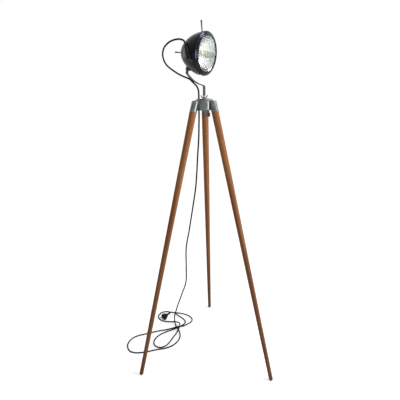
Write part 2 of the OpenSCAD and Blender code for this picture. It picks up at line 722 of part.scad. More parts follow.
// Tapered rod on the shell's top, wider at its end, with a threaded foot through the sheet
module handle() {
    color([0.5, 0.45, 0.42]) on_lamp() at_handle() {
        translate([0, 0, -8]) cylinder(h = 9, r = 2.4);
        translate([0, 0, 0.9]) cylinder(h = 1.8, r = 4);
        rotate_extrude() polygon([[0, 0.9], [2.4, 0.9], [2.4, 3], [3.7, handle_l - 1.6],
                                  [3, handle_l - 0.4], [0, handle_l]]);
    }
}

module handle_nut() {
    color([0.6, 0.6, 0.6]) on_lamp() at_handle() translate([0, 0, -5.6]) difference() {
        hexagon(8, 3.2);
        translate([0, 0, -1]) cylinder(h = 6, r = 2.45);
    }
}

// Moulded rubber boot: a plug through the hole, a low dome over it and a slanted tail for
// the cord, whose bore stops above the shell
module shell_cord_boot() {
    color([0.08, 0.08, 0.08]) on_lamp() difference() {
        union() {
            at_boot_hole() {
                translate([0, 0, -3.6]) cylinder(h = 4, r = 4.95);
                translate([0, 0, -3.6]) cylinder(h = 1.8, r = 6.2);
            }
            difference() {
                union() {
                    at_boot_hole() {
                        translate([0, 0, -2]) cylinder(h = 8.2, r1 = 6.6, r2 = 5.2);
                    }
                    at_boot() translate([0, 0, -2]) cylinder(h = boot_l + 2, r1 = 5.3, r2 = 4.6);
                }
                solid_bowl(fit);
            }
        }
        at_boot() cylinder(h = boot_l + 2, d = cord_d + 2 * fit);
    }
}

// ---------------------------------------------------------------- cord

// Its last two points are worked out, so that it always ends straight inside the boot.
// A point of the lamp's frame, seen from the tripod's axis
function from_lamp(p) = [p[0], lamp_y + p[1] * sin(look_down) + p[2] * cos(look_down),
                         lamp_z - p[1] * cos(look_down) + p[2] * sin(look_down)];
upper_route = concat(foot_route, loop_route, [from_lamp(boot_at + (boot_l + 1.5) * boot_way),
                                              from_lamp(boot_at + 0.5 * boot_way)]);

// The cord bends on the swivel up to its first point under the strap, and on the tilt above it.
module upper_cord_foot() {
    color([0.05, 0.05, 0.05]) on_axis() tube(upper_route, cord_d, last = len(foot_route));
}
module upper_cord_loop() {
    color([0.05, 0.05, 0.05]) on_axis() tube(upper_route, cord_d, first = len(foot_route));
}

// The plug's frame: the origin is the face's centre and +Z runs back along the body.
module on_plug() { on_axis() translate(plug_at) rotate([0, 90, plug_turn]) children(); }

// The floor cord's last two points lie straight inside the plug's strain relief.
function from_plug(l) = plug_at + l * [cos(plug_turn), sin(plug_turn), 0];
module floor_cord() {
    color([0.05, 0.05, 0.05]) on_axis()
        tube(concat(floor_route, [from_plug(relief_end + 1.5), from_plug(relief_from + 2.5)]), cord_d);
}

module plug_body() {
    color([0.06, 0.06, 0.06]) on_plug() difference() {
        rotate_extrude($fn = 64) polygon([[0, 0], [plug_d / 2 - 1, 0], [plug_d / 2, 1], [plug_d / 2, 12],
                                 [plug_d / 2 - 3, 15], [plug_d / 2 - 5, 20], [plug_d / 2 - 8.5, 28],
                                 [7, 31], [6.4, relief_from], [0, relief_from]]);
        for (x = [-9.5, 9.5]) rotate([0, 0, 90]) translate([x, 0, -1]) cylinder(h = 7, r = 2.4);
    }
}

module plug_pins() {
    color([0.8, 0.8, 0.78]) on_plug() rotate([0, 0, 90]) for (x = [-9.5, 9.5]) translate([x, 0, 0]) {
        translate([0, 0, -17]) cylinder(h = 23, r = 2.35);
        translate([0, 0, -19]) cylinder(h = 2 + EPS, r1 = 1.5, r2 = 2.35);
    }
}

module plug_relief() {
    color([0.05, 0.05, 0.05]) on_plug() translate([0, 0, relief_from]) difference() {
        cylinder(h = relief_end - relief_from, r1 = 6.2, r2 = 4.4);
        translate([0, 0, 2]) cylinder(h = 30, d = cord_d + 2 * fit);
    }
}

// ---------------------------------------------------------------- the part

tripod_head();
leg_front();
leg_right();
leg_left();
leg_screws();
clamp_bolt();
clamp_nut();
head_cord_bush();
strap();
swivel_stud();
wing_nut();
swivel_washer();
swivel_lock_nut();
tilt_bolt();
tilt_nut();
saddle();
saddle_rivets();
shell();
rim();
rim_screw();
lens();
lens_gasket();
reflector();
bulb_glass();
bulb_cap();
lamp_holder();
terminal_block();
switch_body();
switch_bush();
switch_washer();
switch_nut();
switch_lever();
handle();
handle_nut();
shell_cord_boot();
upper_cord_foot();
upper_cord_loop();
floor_cord();
plug_body();
plug_relief();
plug_pins();
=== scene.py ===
import itertools

import bpy
import numpy as np
from mathutils import Matrix, Vector


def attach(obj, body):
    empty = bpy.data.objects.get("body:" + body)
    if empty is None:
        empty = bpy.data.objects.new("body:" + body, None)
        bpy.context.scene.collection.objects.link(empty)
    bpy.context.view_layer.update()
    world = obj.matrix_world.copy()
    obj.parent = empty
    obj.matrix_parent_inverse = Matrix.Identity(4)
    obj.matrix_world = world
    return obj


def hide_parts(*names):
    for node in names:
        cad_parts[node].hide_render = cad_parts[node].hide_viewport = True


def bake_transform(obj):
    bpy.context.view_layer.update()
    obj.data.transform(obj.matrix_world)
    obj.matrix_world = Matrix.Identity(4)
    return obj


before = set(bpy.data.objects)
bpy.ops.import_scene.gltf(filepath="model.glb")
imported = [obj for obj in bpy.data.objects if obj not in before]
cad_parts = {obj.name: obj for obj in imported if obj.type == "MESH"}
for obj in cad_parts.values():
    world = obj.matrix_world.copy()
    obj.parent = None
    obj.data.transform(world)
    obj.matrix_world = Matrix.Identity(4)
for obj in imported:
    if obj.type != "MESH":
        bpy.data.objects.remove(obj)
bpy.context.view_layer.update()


# ---- The camera
# It stands at the lamp's left front, 1.25 m up, turned 56 degrees off the beam and tipped 17
# degrees down, and leans one degree to the right.
camera_at = np.array([-1.12539, -0.64352, 1.24944])
looking = np.array([0.79104, 0.53588, -0.29510])
looking /= np.linalg.norm(looking)
level = np.array([looking[1], -looking[0], 0.0]) / np.hypot(looking[0], looking[1])
upright = np.cross(level, looking)
lean = -0.01619
camera_right = level * np.cos(lean) + upright * np.sin(lean)
camera_up = upright * np.cos(lean) - level * np.sin(lean)
camera = bpy.data.objects.new("camera", bpy.data.cameras.new("camera"))
camera.data.lens = 27.78
camera.data.sensor_width = 36.0
camera.data.clip_end = 60.0
turn = np.eye(4)
turn[:3] = np.stack([camera_right, camera_up, -looking, camera_at], axis=1)
camera.matrix_world = Matrix(turn.tolist())
bpy.context.scene.collection.objects.link(camera)
bpy.context.scene.camera = camera
bpy.context.scene.view_settings.view_transform = "Standard"


# ---- The floor cord
# A round two-core mains lead in smooth black vinyl, 7 mm across. It leaves the bush under the
# tripod's head, hangs down between the legs, lies in two loops on the floor and comes back
# over itself to the plug.
cord_width = 0.007
floor_cord_points = 0.001 * np.array([
    [0, 116.5, 1250], [0, 116.5, 1225], [-1, 117.5, 1160], [0, 121.5, 1095], [1, 128.5, 1030],
    [3, 135.5, 960], [6, 146.5, 880], [9, 167.5, 780], [13, 194.5, 660], [18, 220.5, 553],
    [30, 233.5, 440], [43, 248.5, 335], [48, 283.5, 242], [53, 317.5, 160], [60, 341.5, 100],
    [66, 356.5, 62], [66, 360.5, 34], [58, 351.5, 13], [46, 333.5, 4.5], [33, 309.5, 3.6],
    [17, 285.5, 3.6], [-6, 265.5, 3.6], [-36, 254.5, 3.6], [-71, 254.5, 3.6],
    [-102, 265.5, 3.6], [-127, 283.5, 3.6], [-146, 303.5, 3.6], [-168, 323.5, 3.6],
    [-190, 341.5, 3.6], [-212, 364.5, 3.6], [-231, 391.5, 3.6], [-238, 420.5, 3.6],
    [-228, 449.5, 3.6], [-204, 472.5, 3.6], [-172, 480.5, 3.6], [-139, 472.5, 3.6],
    [-106, 449.5, 3.6], [-71, 421.5, 3.6], [-37, 394.5, 3.6], [-7, 365.5, 4],
    [20, 337.5, 9], [44, 317.5, 11.5], [70, 302.5, 3.6], [98, 290.5, 3.6],
    [127, 283.5, 3.6], [151, 293.5, 3.6], [163, 318.5, 3.6], [164, 349.5, 3.6],
    [157, 381.5, 3.6], [145, 411.5, 3.6], [132, 442.5, 3.6], [120, 471.5, 3.6],
    [98, 488.5, 3.6], [70, 488.5, 3.6], [48, 470.5, 3.6], [40, 440.5, 3.6],
    [48, 410.5, 3.6], [61, 384.5, 5], [71, 359.5, 9], [70, 333.5, 15], [56, 313.5, 20.5],
    [31, 302.5, 13], [-2, 297.5, 4], [-38, 292.5, 3.6], [-75, 286.5, 3.6],
    [-107, 288.5, 3.6], [-130, 303.5, 3.6], [-137, 329.5, 3.6], [-125, 355.5, 3.6],
    [-98, 369.5, 3.6], [-64, 370.5, 3.6], [-30, 358.5, 4], [0, 337.5, 8],
    [27, 318.5, 11.5], [53, 306.5, 12.5], [79, 302.5, 11.5], [103, 308.5, 6],
    [119, 328.5, 3.8], [127, 357.5, 3.6], [130, 384.5, 5], [131, 404.5, 10],
    [126, 419.5, 15], [118, 426.5, 18.3], [108.95, 429.64, 19.3], [88.15, 432.56, 19.3]])


def threaded(points, spacing):
    """A smooth line through the points: between two points it is the cubic whose slope at
    each is half the way between that point's two neighbours. The line is then walked off in
    equal steps of about the spacing."""
    ends = np.vstack([2 * points[0] - points[1], points, 2 * points[-1] - points[-2]])
    a, b, c, d = (ends[k:len(ends) - 3 + k, None] for k in range(4))
    t = np.linspace(0, 1, 24, endpoint=False)[None, :, None]
    line = 0.5 * (2 * b + (c - a) * t + (2 * a - 5 * b + 4 * c - d) * t ** 2
                  + (3 * b - a - 3 * c + d) * t ** 3)
    line = np.vstack([line.reshape(-1, 3), points[-1:]])
    walked = np.concatenate([[0], np.cumsum(np.linalg.norm(np.diff(line, axis=0), axis=1))])
    stops = np.linspace(0, walked[-1], int(walked[-1] / spacing) + 1)
    return np.stack([np.interp(stops, walked, line[:, k]) for k in range(3)], axis=1)


def skin(name, grid, round_u=False, round_v=True):
    """A mesh over a grid of points, rows by columns. Each square of four neighbours is a face.
    round_v joins the last column to the first and round_u the last row to the first. A row
    whose points all fall together is one vertex, the pole of a fan of triangles."""
    rows, columns = grid.shape[:2]
    number = np.arange(rows * columns).reshape(rows, columns)
    pole = np.ptp(grid, axis=1).max(axis=1) < 1e-9
    number[pole] = number[pole, :1]
    down = np.roll(number, -1, axis=0) if round_u else number[1:]
    here = number if round_u else number[:-1]
    right, right_down = np.roll(here, -1, axis=1), np.roll(down, -1, axis=1)
    if not round_v:
        here, down, right, right_down = (k[:, :-1] for k in (here, down, right, right_down))
    corners = np.stack([here, right, right_down, down], axis=-1).reshape(-1, 4)
    kept = corners != np.roll(corners, 1, axis=1)
    corners, kept = corners[kept.sum(axis=1) > 2], kept[kept.sum(axis=1) > 2]
    used, loops = np.unique(corners[kept], return_inverse=True)
    counts = kept.sum(axis=1)
    mesh = bpy.data.meshes.new(name)
    mesh.vertices.add(len(used))
    mesh.vertices.foreach_set("co", grid.reshape(-1, 3)[used].astype(np.float32).ravel())
    mesh.loops.add(len(loops))
    mesh.loops.foreach_set("vertex_index", loops.astype(np.int32).ravel())
    mesh.polygons.add(len(counts))
    mesh.polygons.foreach_set("loop_start", (np.cumsum(counts) - counts).astype(np.int32))
    mesh.polygons.foreach_set("use_smooth", np.ones(len(counts), bool))
    mesh.update(calc_edges=True)
    mesh.validate()
    piece = bpy.data.objects.new(name, mesh)
    bpy.context.scene.collection.objects.link(piece)
    return piece


def ways(line):
    """The direction of a line at each of its points, from the neighbour before to the one after."""
    step = np.gradient(line, axis=0)
    return step / np.linalg.norm(step, axis=1, keepdims=True)


def lead(name, line, sides=20):
    """The round lead along a line. Each ring is c + r (cos a s + sin a t), where s is the side
    direction of the ring before with its lean along the line taken out, and t is square to
    both, so the rings don't twist. The ends close on their middles, and a second ring close
    to each keeps the shading of the wall off them."""
    line = np.vstack([line[:1], 0.9 * line[0] + 0.1 * line[1], line[1:-1],
                      0.9 * line[-1] + 0.1 * line[-2], line[-1:]])
    way = ways(line)
    first = np.cross(way[0], [0.3, 1.0, 0.2])
    side = np.stack(list(itertools.accumulate(
        way[1:], lambda s, t: (s - (s @ t) * t) / np.linalg.norm(s - (s @ t) * t),
        initial=first / np.linalg.norm(first))))
    other = np.cross(way, side)
    a = np.linspace(0, 2 * np.pi, sides, endpoint=False)[None, :, None]
    out = np.cos(a) * side[:, None] + np.sin(a) * other[:, None]
    rings = line[:, None] + cord_width / 2 * out
    ends = np.broadcast_to(line[[0, -1], None], (2, sides, 3))
    return skin(name, np.concatenate([ends[:1], rings, ends[1:]]))


def feed(tree, fed, **sockets):
    """Fills a node's sockets, each with a value or another node's output. From_Min is the
    socket called From Min, and in_2 the third one."""
    for key, value in sockets.items():
        socket = fed.inputs[int(key[3:]) if key.startswith("in_") else key.replace("_", " ")]
        if isinstance(value, bpy.types.NodeSocket):
            tree.links.new(value, socket)
        else:
            socket.default_value = value


def node(tree, kind, **settings):
    """Adds a shader node, and sets its properties or, where it has no such property, its
    sockets."""
    made = tree.nodes.new("ShaderNode" + kind)
    for key, value in settings.items():
        if hasattr(made, key):
            setattr(made, key, value)
        else:
            feed(tree, made, **{key: value})
    return made


def ranged(tree, value, low, high, to_low=0.0, to_high=1.0, **more):
    """A value carried from one range to another, and held at its ends."""
    return node(tree, "MapRange", Value=value, From_Min=low, From_Max=high,
                To_Min=to_low, To_Max=to_high, **more).outputs["Result"]


def mixed(tree, share, first, second):
    """The colour that lies at a share of the way from the first colour to the second."""
    return node(tree, "Mix", data_type="RGBA", in_0=share, in_6=first, in_7=second).outputs[2]


def material(name, **sockets):
    """A new material with one Principled BSDF, whose sockets are set by name."""
    made = bpy.data.materials.new(name)
    made.use_nodes = True
    shader = made.node_tree.nodes["Principled BSDF"]
    feed(made.node_tree, shader, **sockets)
    return made, made.node_tree, shader


# Fine, uneven wear that most of the lamp's finishes share: a faint mottling and tiny pits.
fine_wear = bpy.data.node_groups.new("fine_wear", "ShaderNodeTree")
for name, side, kind in (("Place", "INPUT", "Vector"), ("Size", "INPUT", "Float"),
                         ("Mottle", "OUTPUT", "Float"), ("Height", "OUTPUT", "Float")):
    fine_wear.interface.new_socket(name, in_out=side, socket_type="NodeSocket" + kind)
wear_in = fine_wear.nodes.new("NodeGroupInput").outputs
mottling = node(fine_wear, "TexNoise", Vector=wear_in["Place"], Scale=wear_in["Size"],
                Detail=5.0, Roughness=0.6)
pit_size = node(fine_wear, "Math", operation="MULTIPLY", in_0=wear_in["Size"], in_1=9.0)
pits = node(fine_wear, "TexNoise", Vector=wear_in["Place"], Scale=pit_size.outputs[0],
            Detail=3.0, Roughness=0.7)
feed(fine_wear, fine_wear.nodes.new("NodeGroupOutput"), Mottle=mottling.outputs["Fac"],
     Height=pits.outputs["Fac"])


def worn(tree, shader, size, dark, light, roughness, bump, depth):
    """Feeds a shader from the fine wear group: colour between two colours and roughness
    between two values by the mottling, and a bump of the given strength and depth. Gives
    the colour back."""
    wear = node(tree, "Group", node_tree=fine_wear, Size=size,
                Place=node(tree, "TexCoord").outputs["Object"])
    mottle = ranged(tree, wear.outputs["Mottle"], 0.35, 0.65)
    colour = mixed(tree, mottle, (*dark, 1), (*light, 1))
    dent = node(tree, "Bump", Strength=bump, Distance=depth, Height=wear.outputs["Height"])
    feed(tree, shader, Base_Color=colour, Normal=dent.outputs["Normal"],
         Roughness=ranged(tree, mottle, 0.0, 1.0, *roughness))
    return colour


def finish(name, size, dark, light, roughness, bump, depth, **sockets):
    """A material that has fine wear and no other pattern."""
    made, tree, shader = material(name, **sockets)
    worn(tree, shader, size, dark, light, roughness, bump, depth)
    return made


def fitted(piece, look, body, part):
    """Gives a piece its material and the body that it rides on, and hides the node of model.glb
    that it stands for. Gives the piece back."""
    piece.data.materials.append(look)
    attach(piece, body)
    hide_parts(part)
    return piece


black_vinyl = finish("black_vinyl", 90.0, (0.0035, 0.0033, 0.0035), (0.0075, 0.0070, 0.0072),
                     (0.36, 0.50), 0.15, 0.0004, Specular_IOR_Level=0.07)
floor_line = threaded(floor_cord_points, 0.0022)
floor_lead = fitted(lead("floor_lead", floor_line), black_vinyl, "tripod", "floor_cord")


# ---- The plug
# Moulded in one with its strain relief from the same black vinyl: a round, flat-faced body
# with a shallow waist for the fingers, a ribbed tail, and two round nickel pins.
def at(x, y, z):
    """The place that is shifted by x, y and z."""
    return Matrix.Translation((x, y, z))


def turned_by(degrees, axis):
    """The place that is turned about X, Y or Z."""
    return Matrix.Rotation(np.radians(degrees), 4, axis)


def moved(points, place):
    """Points put in their place by a 4 by 4 matrix."""
    m = np.array(place)
    return points @ m[:3, :3].T + m[:3, 3]


def rounded(corners, radius, guard=0.0003):
    """Rounds the inner corners of a line of [radius, height] points. Each corner p becomes
    five points of the curve (1-u)^2 (p + t a) + 2u(1-u) p + u^2 (p + t b) between its two
    sides' directions a and b, with a guard point beyond each end that keeps the sides'
    shading flat."""
    line = np.array(corners, float)
    p, before, after = line[1:-1], line[:-2] - line[1:-1], line[2:] - line[1:-1]
    lengths = np.linalg.norm(before, axis=1), np.linalg.norm(after, axis=1)
    a, b = before / lengths[0][:, None], after / lengths[1][:, None]
    half = np.arccos(np.clip((a * b).sum(axis=1), -0.9999, 0.9999)) / 2
    t = np.minimum(radius / np.tan(half), 0.42 * np.minimum(*lengths))[:, None, None]
    u = np.linspace(0, 1, 5)[None, :, None]
    arc = p[:, None] + (1 - u) ** 2 * t * a[:, None] + u ** 2 * t * b[:, None]
    g = t + np.minimum(guard, 0.05 * np.minimum(*lengths))[:, None, None]
    row = np.concatenate([p[:, None] + g * a[:, None], arc, p[:, None] + g * b[:, None]], axis=1)
    return np.vstack([line[:1], row.reshape(-1, 2), line[-1:]])


def turned(name, profile, place, sides=64, closed=False, shape=None):
    """A piece turned on a lathe. Each profile point (r, h) is carried round the axis as
    (r cos a, r sin a, h), then put in its place. shape, if given, is a function of a and h
    that limits r, as a hexagon does. closed joins the last ring to the first, for a tube. A
    profile that runs down on its outside, by the sum of (r + r')^2 (h' - h), is turned over
    so that the faces look out."""
    profile = np.array(profile, float)
    if ((profile[1:, 0] + profile[:-1, 0]) ** 2 * np.diff(profile[:, 1])).sum() < 0:
        profile = profile[::-1]
    a = np.linspace(0, 2 * np.pi, sides, endpoint=False)[None]
    r, h = profile[:, :1], profile[:, 1:]
    r = r + 0 * a if shape is None else np.minimum(r, shape(a, h))
    grid = np.stack([r * np.cos(a), r * np.sin(a), h + 0 * a], axis=-1)
    return skin(name, moved(grid, place), round_u=closed)


def joined(name, *pieces):
    """One piece made of several, each left as it is."""
    meshes = [p.data for p in pieces]
    with bpy.context.temp_override(active_object=pieces[0],
                                   selected_editable_objects=list(pieces)):
        bpy.ops.object.join()
    pieces[0].name = pieces[0].data.name = name
    for m in meshes[1:]:
        bpy.data.meshes.remove(m)
    return pieces[0]


def grooved(h, pitch, depth):
    """How deep rounded grooves cut into a rod at each height: half the depth times one less
    the cosine of a full turn for each pitch."""
    return depth / 2 * (1 - np.cos(2 * np.pi * h / pitch))


plug_place = at(0.053, 0.4375, 0.0193) @ turned_by(-8, "Z") @ turned_by(90, "Y")
plug_line = rounded([[0, 0], [0.019, 0], [0.019, 0.0125], [0.0162, 0.0150], [0.0148, 0.0190],
                     [0.0105, 0.0280], [0.0072, 0.0310], [0.0066, 0.033], [0, 0.033]], 0.0016)
plug = fitted(turned("plug", plug_line, plug_place, sides=80), black_vinyl, "tripod",
              "plug_body")

# The tail's ribs: its radius falls from 6.2 to 4.4 mm and dips 0.7 mm between seven ribs.
tail_length = 0.0215
rib_h = np.linspace(0, tail_length, 90)
rib_r = 0.0062 - 0.0018 * rib_h / tail_length - grooved(rib_h, tail_length / 6.5, 0.0007)
tail_line = np.concatenate([[[0, 0.0332]], np.stack([rib_r, rib_h + 0.0333], axis=1),
                            [[0.0036, 0.0549], [0.0, 0.0549]]])
plug_tail = fitted(turned("plug_tail", tail_line, plug_place, sides=48), black_vinyl, "tripod",
                   "plug_relief")

satin_nickel = finish("satin_nickel", 160.0, (0.085, 0.074, 0.066), (0.14, 0.122, 0.110),
                      (0.24, 0.36), 0.12, 0.0002, Metallic=1.0)
pin_line = rounded([[0, 0.006], [0.00235, 0.006], [0.00235, -0.0165], [0.0016, -0.0188],
                    [0, -0.019]], 0.0006)
pins = fitted(joined("pins", *[turned("pin", pin_line, plug_place @ at(0, y, 0), sides=28)
                               for y in (-0.0095, 0.0095)]),
              satin_nickel, "tripod", "plug_pins")


# ---- The upper cord
# The same lead, from the bush on the head up under the strap and over the back of the bowl to the
# boot on its left flank. It is made in two parts, a foot and a loop.
upper_cord_points = 0.001 * np.array([
    [0, 116.5, 1250], [0, 116.5, 1275], [0, 116.5, 1292], [0, 118.5, 1308], [0, 125.5, 1322],
    [0, 136.5, 1332], [0, 147.5, 1341], [0, 159.5, 1351], [-1, 174.5, 1358], [-2, 191.5, 1364],
    [-6, 218.5, 1377], [-11.5, 248.5, 1396], [-17, 267, 1412], [-22.5, 276.5, 1430],
    [-28, 278, 1450], [-34, 269.5, 1468], [-40, 253, 1482], [-44, 228.5, 1493],
    [-47, 204.5, 1497.5], [-50, 182.5, 1498], [-54, 162.5, 1495], [-61, 142.5, 1487.5],
    [-70.5, 127.5, 1473], [-79.5, 120, 1458], [-84, 116, 1449.5], [-86, 113, 1440.5],
    [-85.8, 109.5, 1429], [-83.14, 107.3, 1418.55], [-75.12, 97.95, 1410]])
upper_line = threaded(upper_cord_points, 0.0020)
seam = int(np.linalg.norm(upper_line - (0, 0.1475, 1.341), axis=1).argmin())
foot_line, loop_line = upper_line[:seam + 1], upper_line[seam:]
foot_lead = lead("foot_lead", foot_line, 24)
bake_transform(foot_lead)
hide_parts("upper_cord_foot")
loop_lead = lead("loop_lead", loop_line, 24)
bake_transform(loop_lead)
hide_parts("upper_cord_loop")
for piece in (foot_lead, loop_lead):
    piece.data.materials.append(black_vinyl)


# ---- The cord's bush
# A grommet of matt black rubber pushed through the head, with a soft-edged flange above and
# below it.
axis_y, drum_bottom, disc_top = 0.0895, 1.2270, 1.2720
bush_bore, bush_r, flange_r, flange = 0.00355, 0.00545, 0.0072, 0.0015
tripod_axis = at(0, axis_y, 0)
matt_rubber = finish("matt_rubber", 140.0, (0.014, 0.014, 0.014), (0.03, 0.029, 0.028),
                     (0.55, 0.72), 0.25, 0.0003, Specular_IOR_Level=0.35)
low, middle, high = drum_bottom - flange, 1.2500, disc_top + flange
bush_line = rounded([[bush_bore, middle], [bush_bore, low], [flange_r, low],
                     [flange_r, drum_bottom], [bush_r, drum_bottom], [bush_r, disc_top],
                     [flange_r, disc_top], [flange_r, high], [bush_bore, high],
                     [bush_bore, middle]], 0.0006)
fitted(turned("bush", bush_line[:-1], tripod_axis @ at(0, 0.027, 0), sides=48, closed=True),
       matt_rubber, "tripod", "head_cord_bush")


# ---- The legs
# Turned beech poles in a worn orange-brown stain, with a faint open grain that runs up the leg.
# Each tapers to a ball foot and goes as a tenon into its socket in the head. The stain is drawn
# darker towards the floor and lighter towards the head.
bearings = (270, 30, 150)
leg_tilt = 14.146
leg_length = 1.2479
ball_r, shoulder_r, tenon_r, tenon_length = 0.00925, 0.015, 0.01195, 0.041
foot_out, foot_up = 0.358, 0.00845
tenon_end = leg_length + tenon_length
leg_h = np.concatenate([ball_r * np.sin(np.radians(np.linspace(-90, -4, 16))),
                        np.linspace(0.001, leg_length - 0.0012, 120)])
leg_r = np.where(leg_h < 0, np.sqrt(np.maximum(0, ball_r ** 2 - leg_h ** 2)),
                 ball_r + (shoulder_r - ball_r) * leg_h / leg_length)
leg_line = np.vstack([np.stack([leg_r, leg_h], axis=1),
                      [[0.0148, leg_length - 0.0003], [0.0140, leg_length], [tenon_r, leg_length],
                       [tenon_r, leg_length + 0.002], [tenon_r, tenon_end - 0.001],
                       [0.0110, tenon_end], [0, tenon_end]]])
leg_line[0, 0] = 0


def leg_place(bearing):
    """A leg's own place: the middle of its ball foot, with +Z up the leg."""
    return (tripod_axis @ turned_by(bearing, "Z") @ at(foot_out, 0, foot_up)
            @ turned_by(-leg_tilt, "Y"))


def vertices_of(piece):
    """A piece's points, one row each."""
    points = np.empty(3 * len(piece.data.vertices), np.float32)
    piece.data.vertices.foreach_get("co", points)
    return points.reshape(-1, 3)


def levelled(piece, lowest, highest):
    """Presses whatever of a piece lies lower or higher flat onto that level."""
    points = vertices_of(piece)
    points[:, 2] = np.clip(points[:, 2], lowest, highest)
    piece.data.vertices.foreach_set("co", points.ravel())
    return piece


def own_points(piece, place):
    """Keeps each point's place in the piece's own frame as a vector attribute, called own, for
    its material."""
    own = moved(vertices_of(piece), place.inverted()).astype(np.float32).ravel()
    piece.data.attributes.new("own", "FLOAT_VECTOR", "POINT").data.foreach_set("vector", own)


def own_place(tree):
    """The attribute that own_points kept."""
    return node(tree, "Attribute", attribute_name="own").outputs["Vector"]


def own_noise(tree, scale, **settings):
    """Noise in the piece's own frame, stretched by the three scales."""
    place = node(tree, "Mapping", vector_type="POINT", Vector=own_place(tree), Scale=scale)
    return node(tree, "TexNoise", Vector=place.outputs["Vector"], Scale=1.0,
                **settings).outputs["Fac"]


stained_beech, tree, shader = material("stained_beech", Specular_IOR_Level=0.12)
streak = own_noise(tree, (95.0, 95.0, 3.2), Detail=6.0, Roughness=0.62, Distortion=0.35)
pore = own_noise(tree, (620.0, 620.0, 24.0), Detail=2.0, Roughness=0.5)
grain = node(tree, "ValToRGB", Fac=streak)
stops = grain.color_ramp.elements
for place, colour in ((0.30, (0.135, 0.046, 0.016)), (0.44, (0.245, 0.092, 0.031)),
                      (0.58, (0.325, 0.134, 0.048)), (0.74, (0.430, 0.200, 0.080))):
    stops.new(place).color = (*colour, 1)
stops.remove(stops[0])
stops.remove(stops[-1])
# The colour grows darker towards the floor and lighter towards the head, and darker in the pores.
up_the_leg = node(tree, "SeparateXYZ", Vector=own_place(tree)).outputs["Z"]
shade = node(tree, "Math", operation="MULTIPLY",
             in_0=ranged(tree, up_the_leg, 0.0, 1.25, 0.42, 1.08),
             in_1=ranged(tree, pore, 0.28, 0.42, 0.72, 1.0))
stain = node(tree, "VectorMath", operation="SCALE", in_0=grain.outputs["Color"],
             Scale=shade.outputs["Value"])
dent = node(tree, "Bump", Strength=0.18, Distance=0.0004, Height=pore)
feed(tree, shader, Base_Color=stain.outputs["Vector"], Normal=dent.outputs["Normal"],
     Roughness=ranged(tree, streak, 0.0, 1.0, 0.42, 0.58))

for name, bearing in zip(("leg_front", "leg_right", "leg_left"), bearings):
    leg = turned(name + "_pole", leg_line, leg_place(bearing), sides=48)
    own_points(leg, leg_place(bearing))
    fitted(levelled(leg, 0, np.inf), stained_beech, "tripod", name)


# ---- The head
# One aluminium casting, tumbled bright: a drum, a raised disc on it and three leg sockets
# that lean out, all run together with soft cast fillets. The underside is recessed for the
# swivel's lock nut.
stud_bore, recess_r, recess_top = 0.00405, 0.0120, 1.2500
drum_line = [[stud_bore, disc_top], [0.0300, disc_top], [0.0305, 1.2718], [0.0383, 1.2672],
             [0.0385, 1.2668], [0.0385, 1.2640], [0.0360, 1.2636], [0.0360, 1.2275],
             [0.0355, drum_bottom], [recess_r, drum_bottom], [recess_r, recess_top],
             [stud_bore, recess_top]]
socket_r, socket_length, socket_top = 0.0155, 0.052, 1.265
socket_line = [[0, leg_length], [socket_r, leg_length], [socket_r, leg_length + socket_length],
               [0, leg_length + socket_length]]
head = turned("head", drum_line, tripod_axis, sides=96, closed=True)
head = joined("head", head, *[
    levelled(turned("socket", socket_line, leg_place(bearing), sides=64), -np.inf, socket_top)
    for bearing in bearings])
knit = head.modifiers.new("knit", "REMESH")
knit.mode, knit.voxel_size, knit.adaptivity, knit.use_smooth_shade = "VOXEL", 0.0009, 0.0, True
soften = head.modifiers.new("soften", "SMOOTH")
soften.factor, soften.iterations = 0.5, 8
tumbled_aluminium = finish("tumbled_aluminium", 70.0, (0.092, 0.095, 0.095),
                           (0.172, 0.180, 0.188), (0.26, 0.38), 0.22, 0.0005, Metallic=1.0)
fitted(head, tumbled_aluminium, "tripod", "tripod_head")


# ---- The leg screws
# Zinc-plated wood screws down through the sockets' tops into the tenons, with low domed heads
# and a straight slot.
bright_zinc = finish("bright_zinc", 190.0, (0.40, 0.40, 0.38), (0.58, 0.58, 0.56),
                     (0.24, 0.40), 0.15, 0.0002, Metallic=1.0)


def slotted(name, radius, height, slot_width, slot_depth, place):
    """A domed screw head cut from one grid: rings (r cos a, r sin a, h) whose height drops by
    the slot's depth where the ring passes the slot, within two thin walls."""
    r = np.concatenate([[0], np.linspace(0.04, 0.97, 24) * radius, [radius, radius]])[:, None]
    a = np.linspace(0, 2 * np.pi, 96, endpoint=False)[None]
    h = height * (1 - 0.45 * (r / radius) ** 4) + 0 * a
    h[-2:] = [[0.45 * height], [0]]
    inside = np.clip((slot_width / 2 - np.abs(r * np.sin(a))) / (0.1 * slot_width) + 0.5, 0, 1)
    h[:-2] = h[:-2] - slot_depth * inside[:-2]
    grid = np.stack([r * np.cos(a), r * np.sin(a), h], axis=-1)
    grid = np.concatenate([grid, grid[-1:] * (0, 0, 1)])
    return skin(name, moved(grid, place)[::-1])


fitted(joined("leg_screw_heads", *[
    slotted("screw", 0.0039, 0.0020, 0.0009, 0.0009, leg_place(bearing)
            @ at(0, 0, leg_length + 0.0462) @ Matrix.Rotation(0.5 * k, 4, "Z"))
    for k, bearing in enumerate(bearings)]), bright_zinc, "tripod", "leg_screws")


# ---- The clamp bolt and its nut
# A dark steel bolt right through the head, with a low dome on the disc. Below the drum sits a
# big hexagonal nut of brownish steel, and the bolt's threaded end stands out under it.
def thread(radius, bottom, top, pitch, depth):
    """The profile of a threaded rod: r falls by the depth in a rounded groove each pitch."""
    h = np.linspace(bottom + 0.0006, top - 0.0006, int((top - bottom) / pitch * 6))
    r, end = radius - grooved(h, pitch, depth), radius - depth - 0.0004
    return np.vstack([[[0, bottom], [end, bottom]], np.stack([r, h], axis=1),
                      [[end, top], [0, top]]])


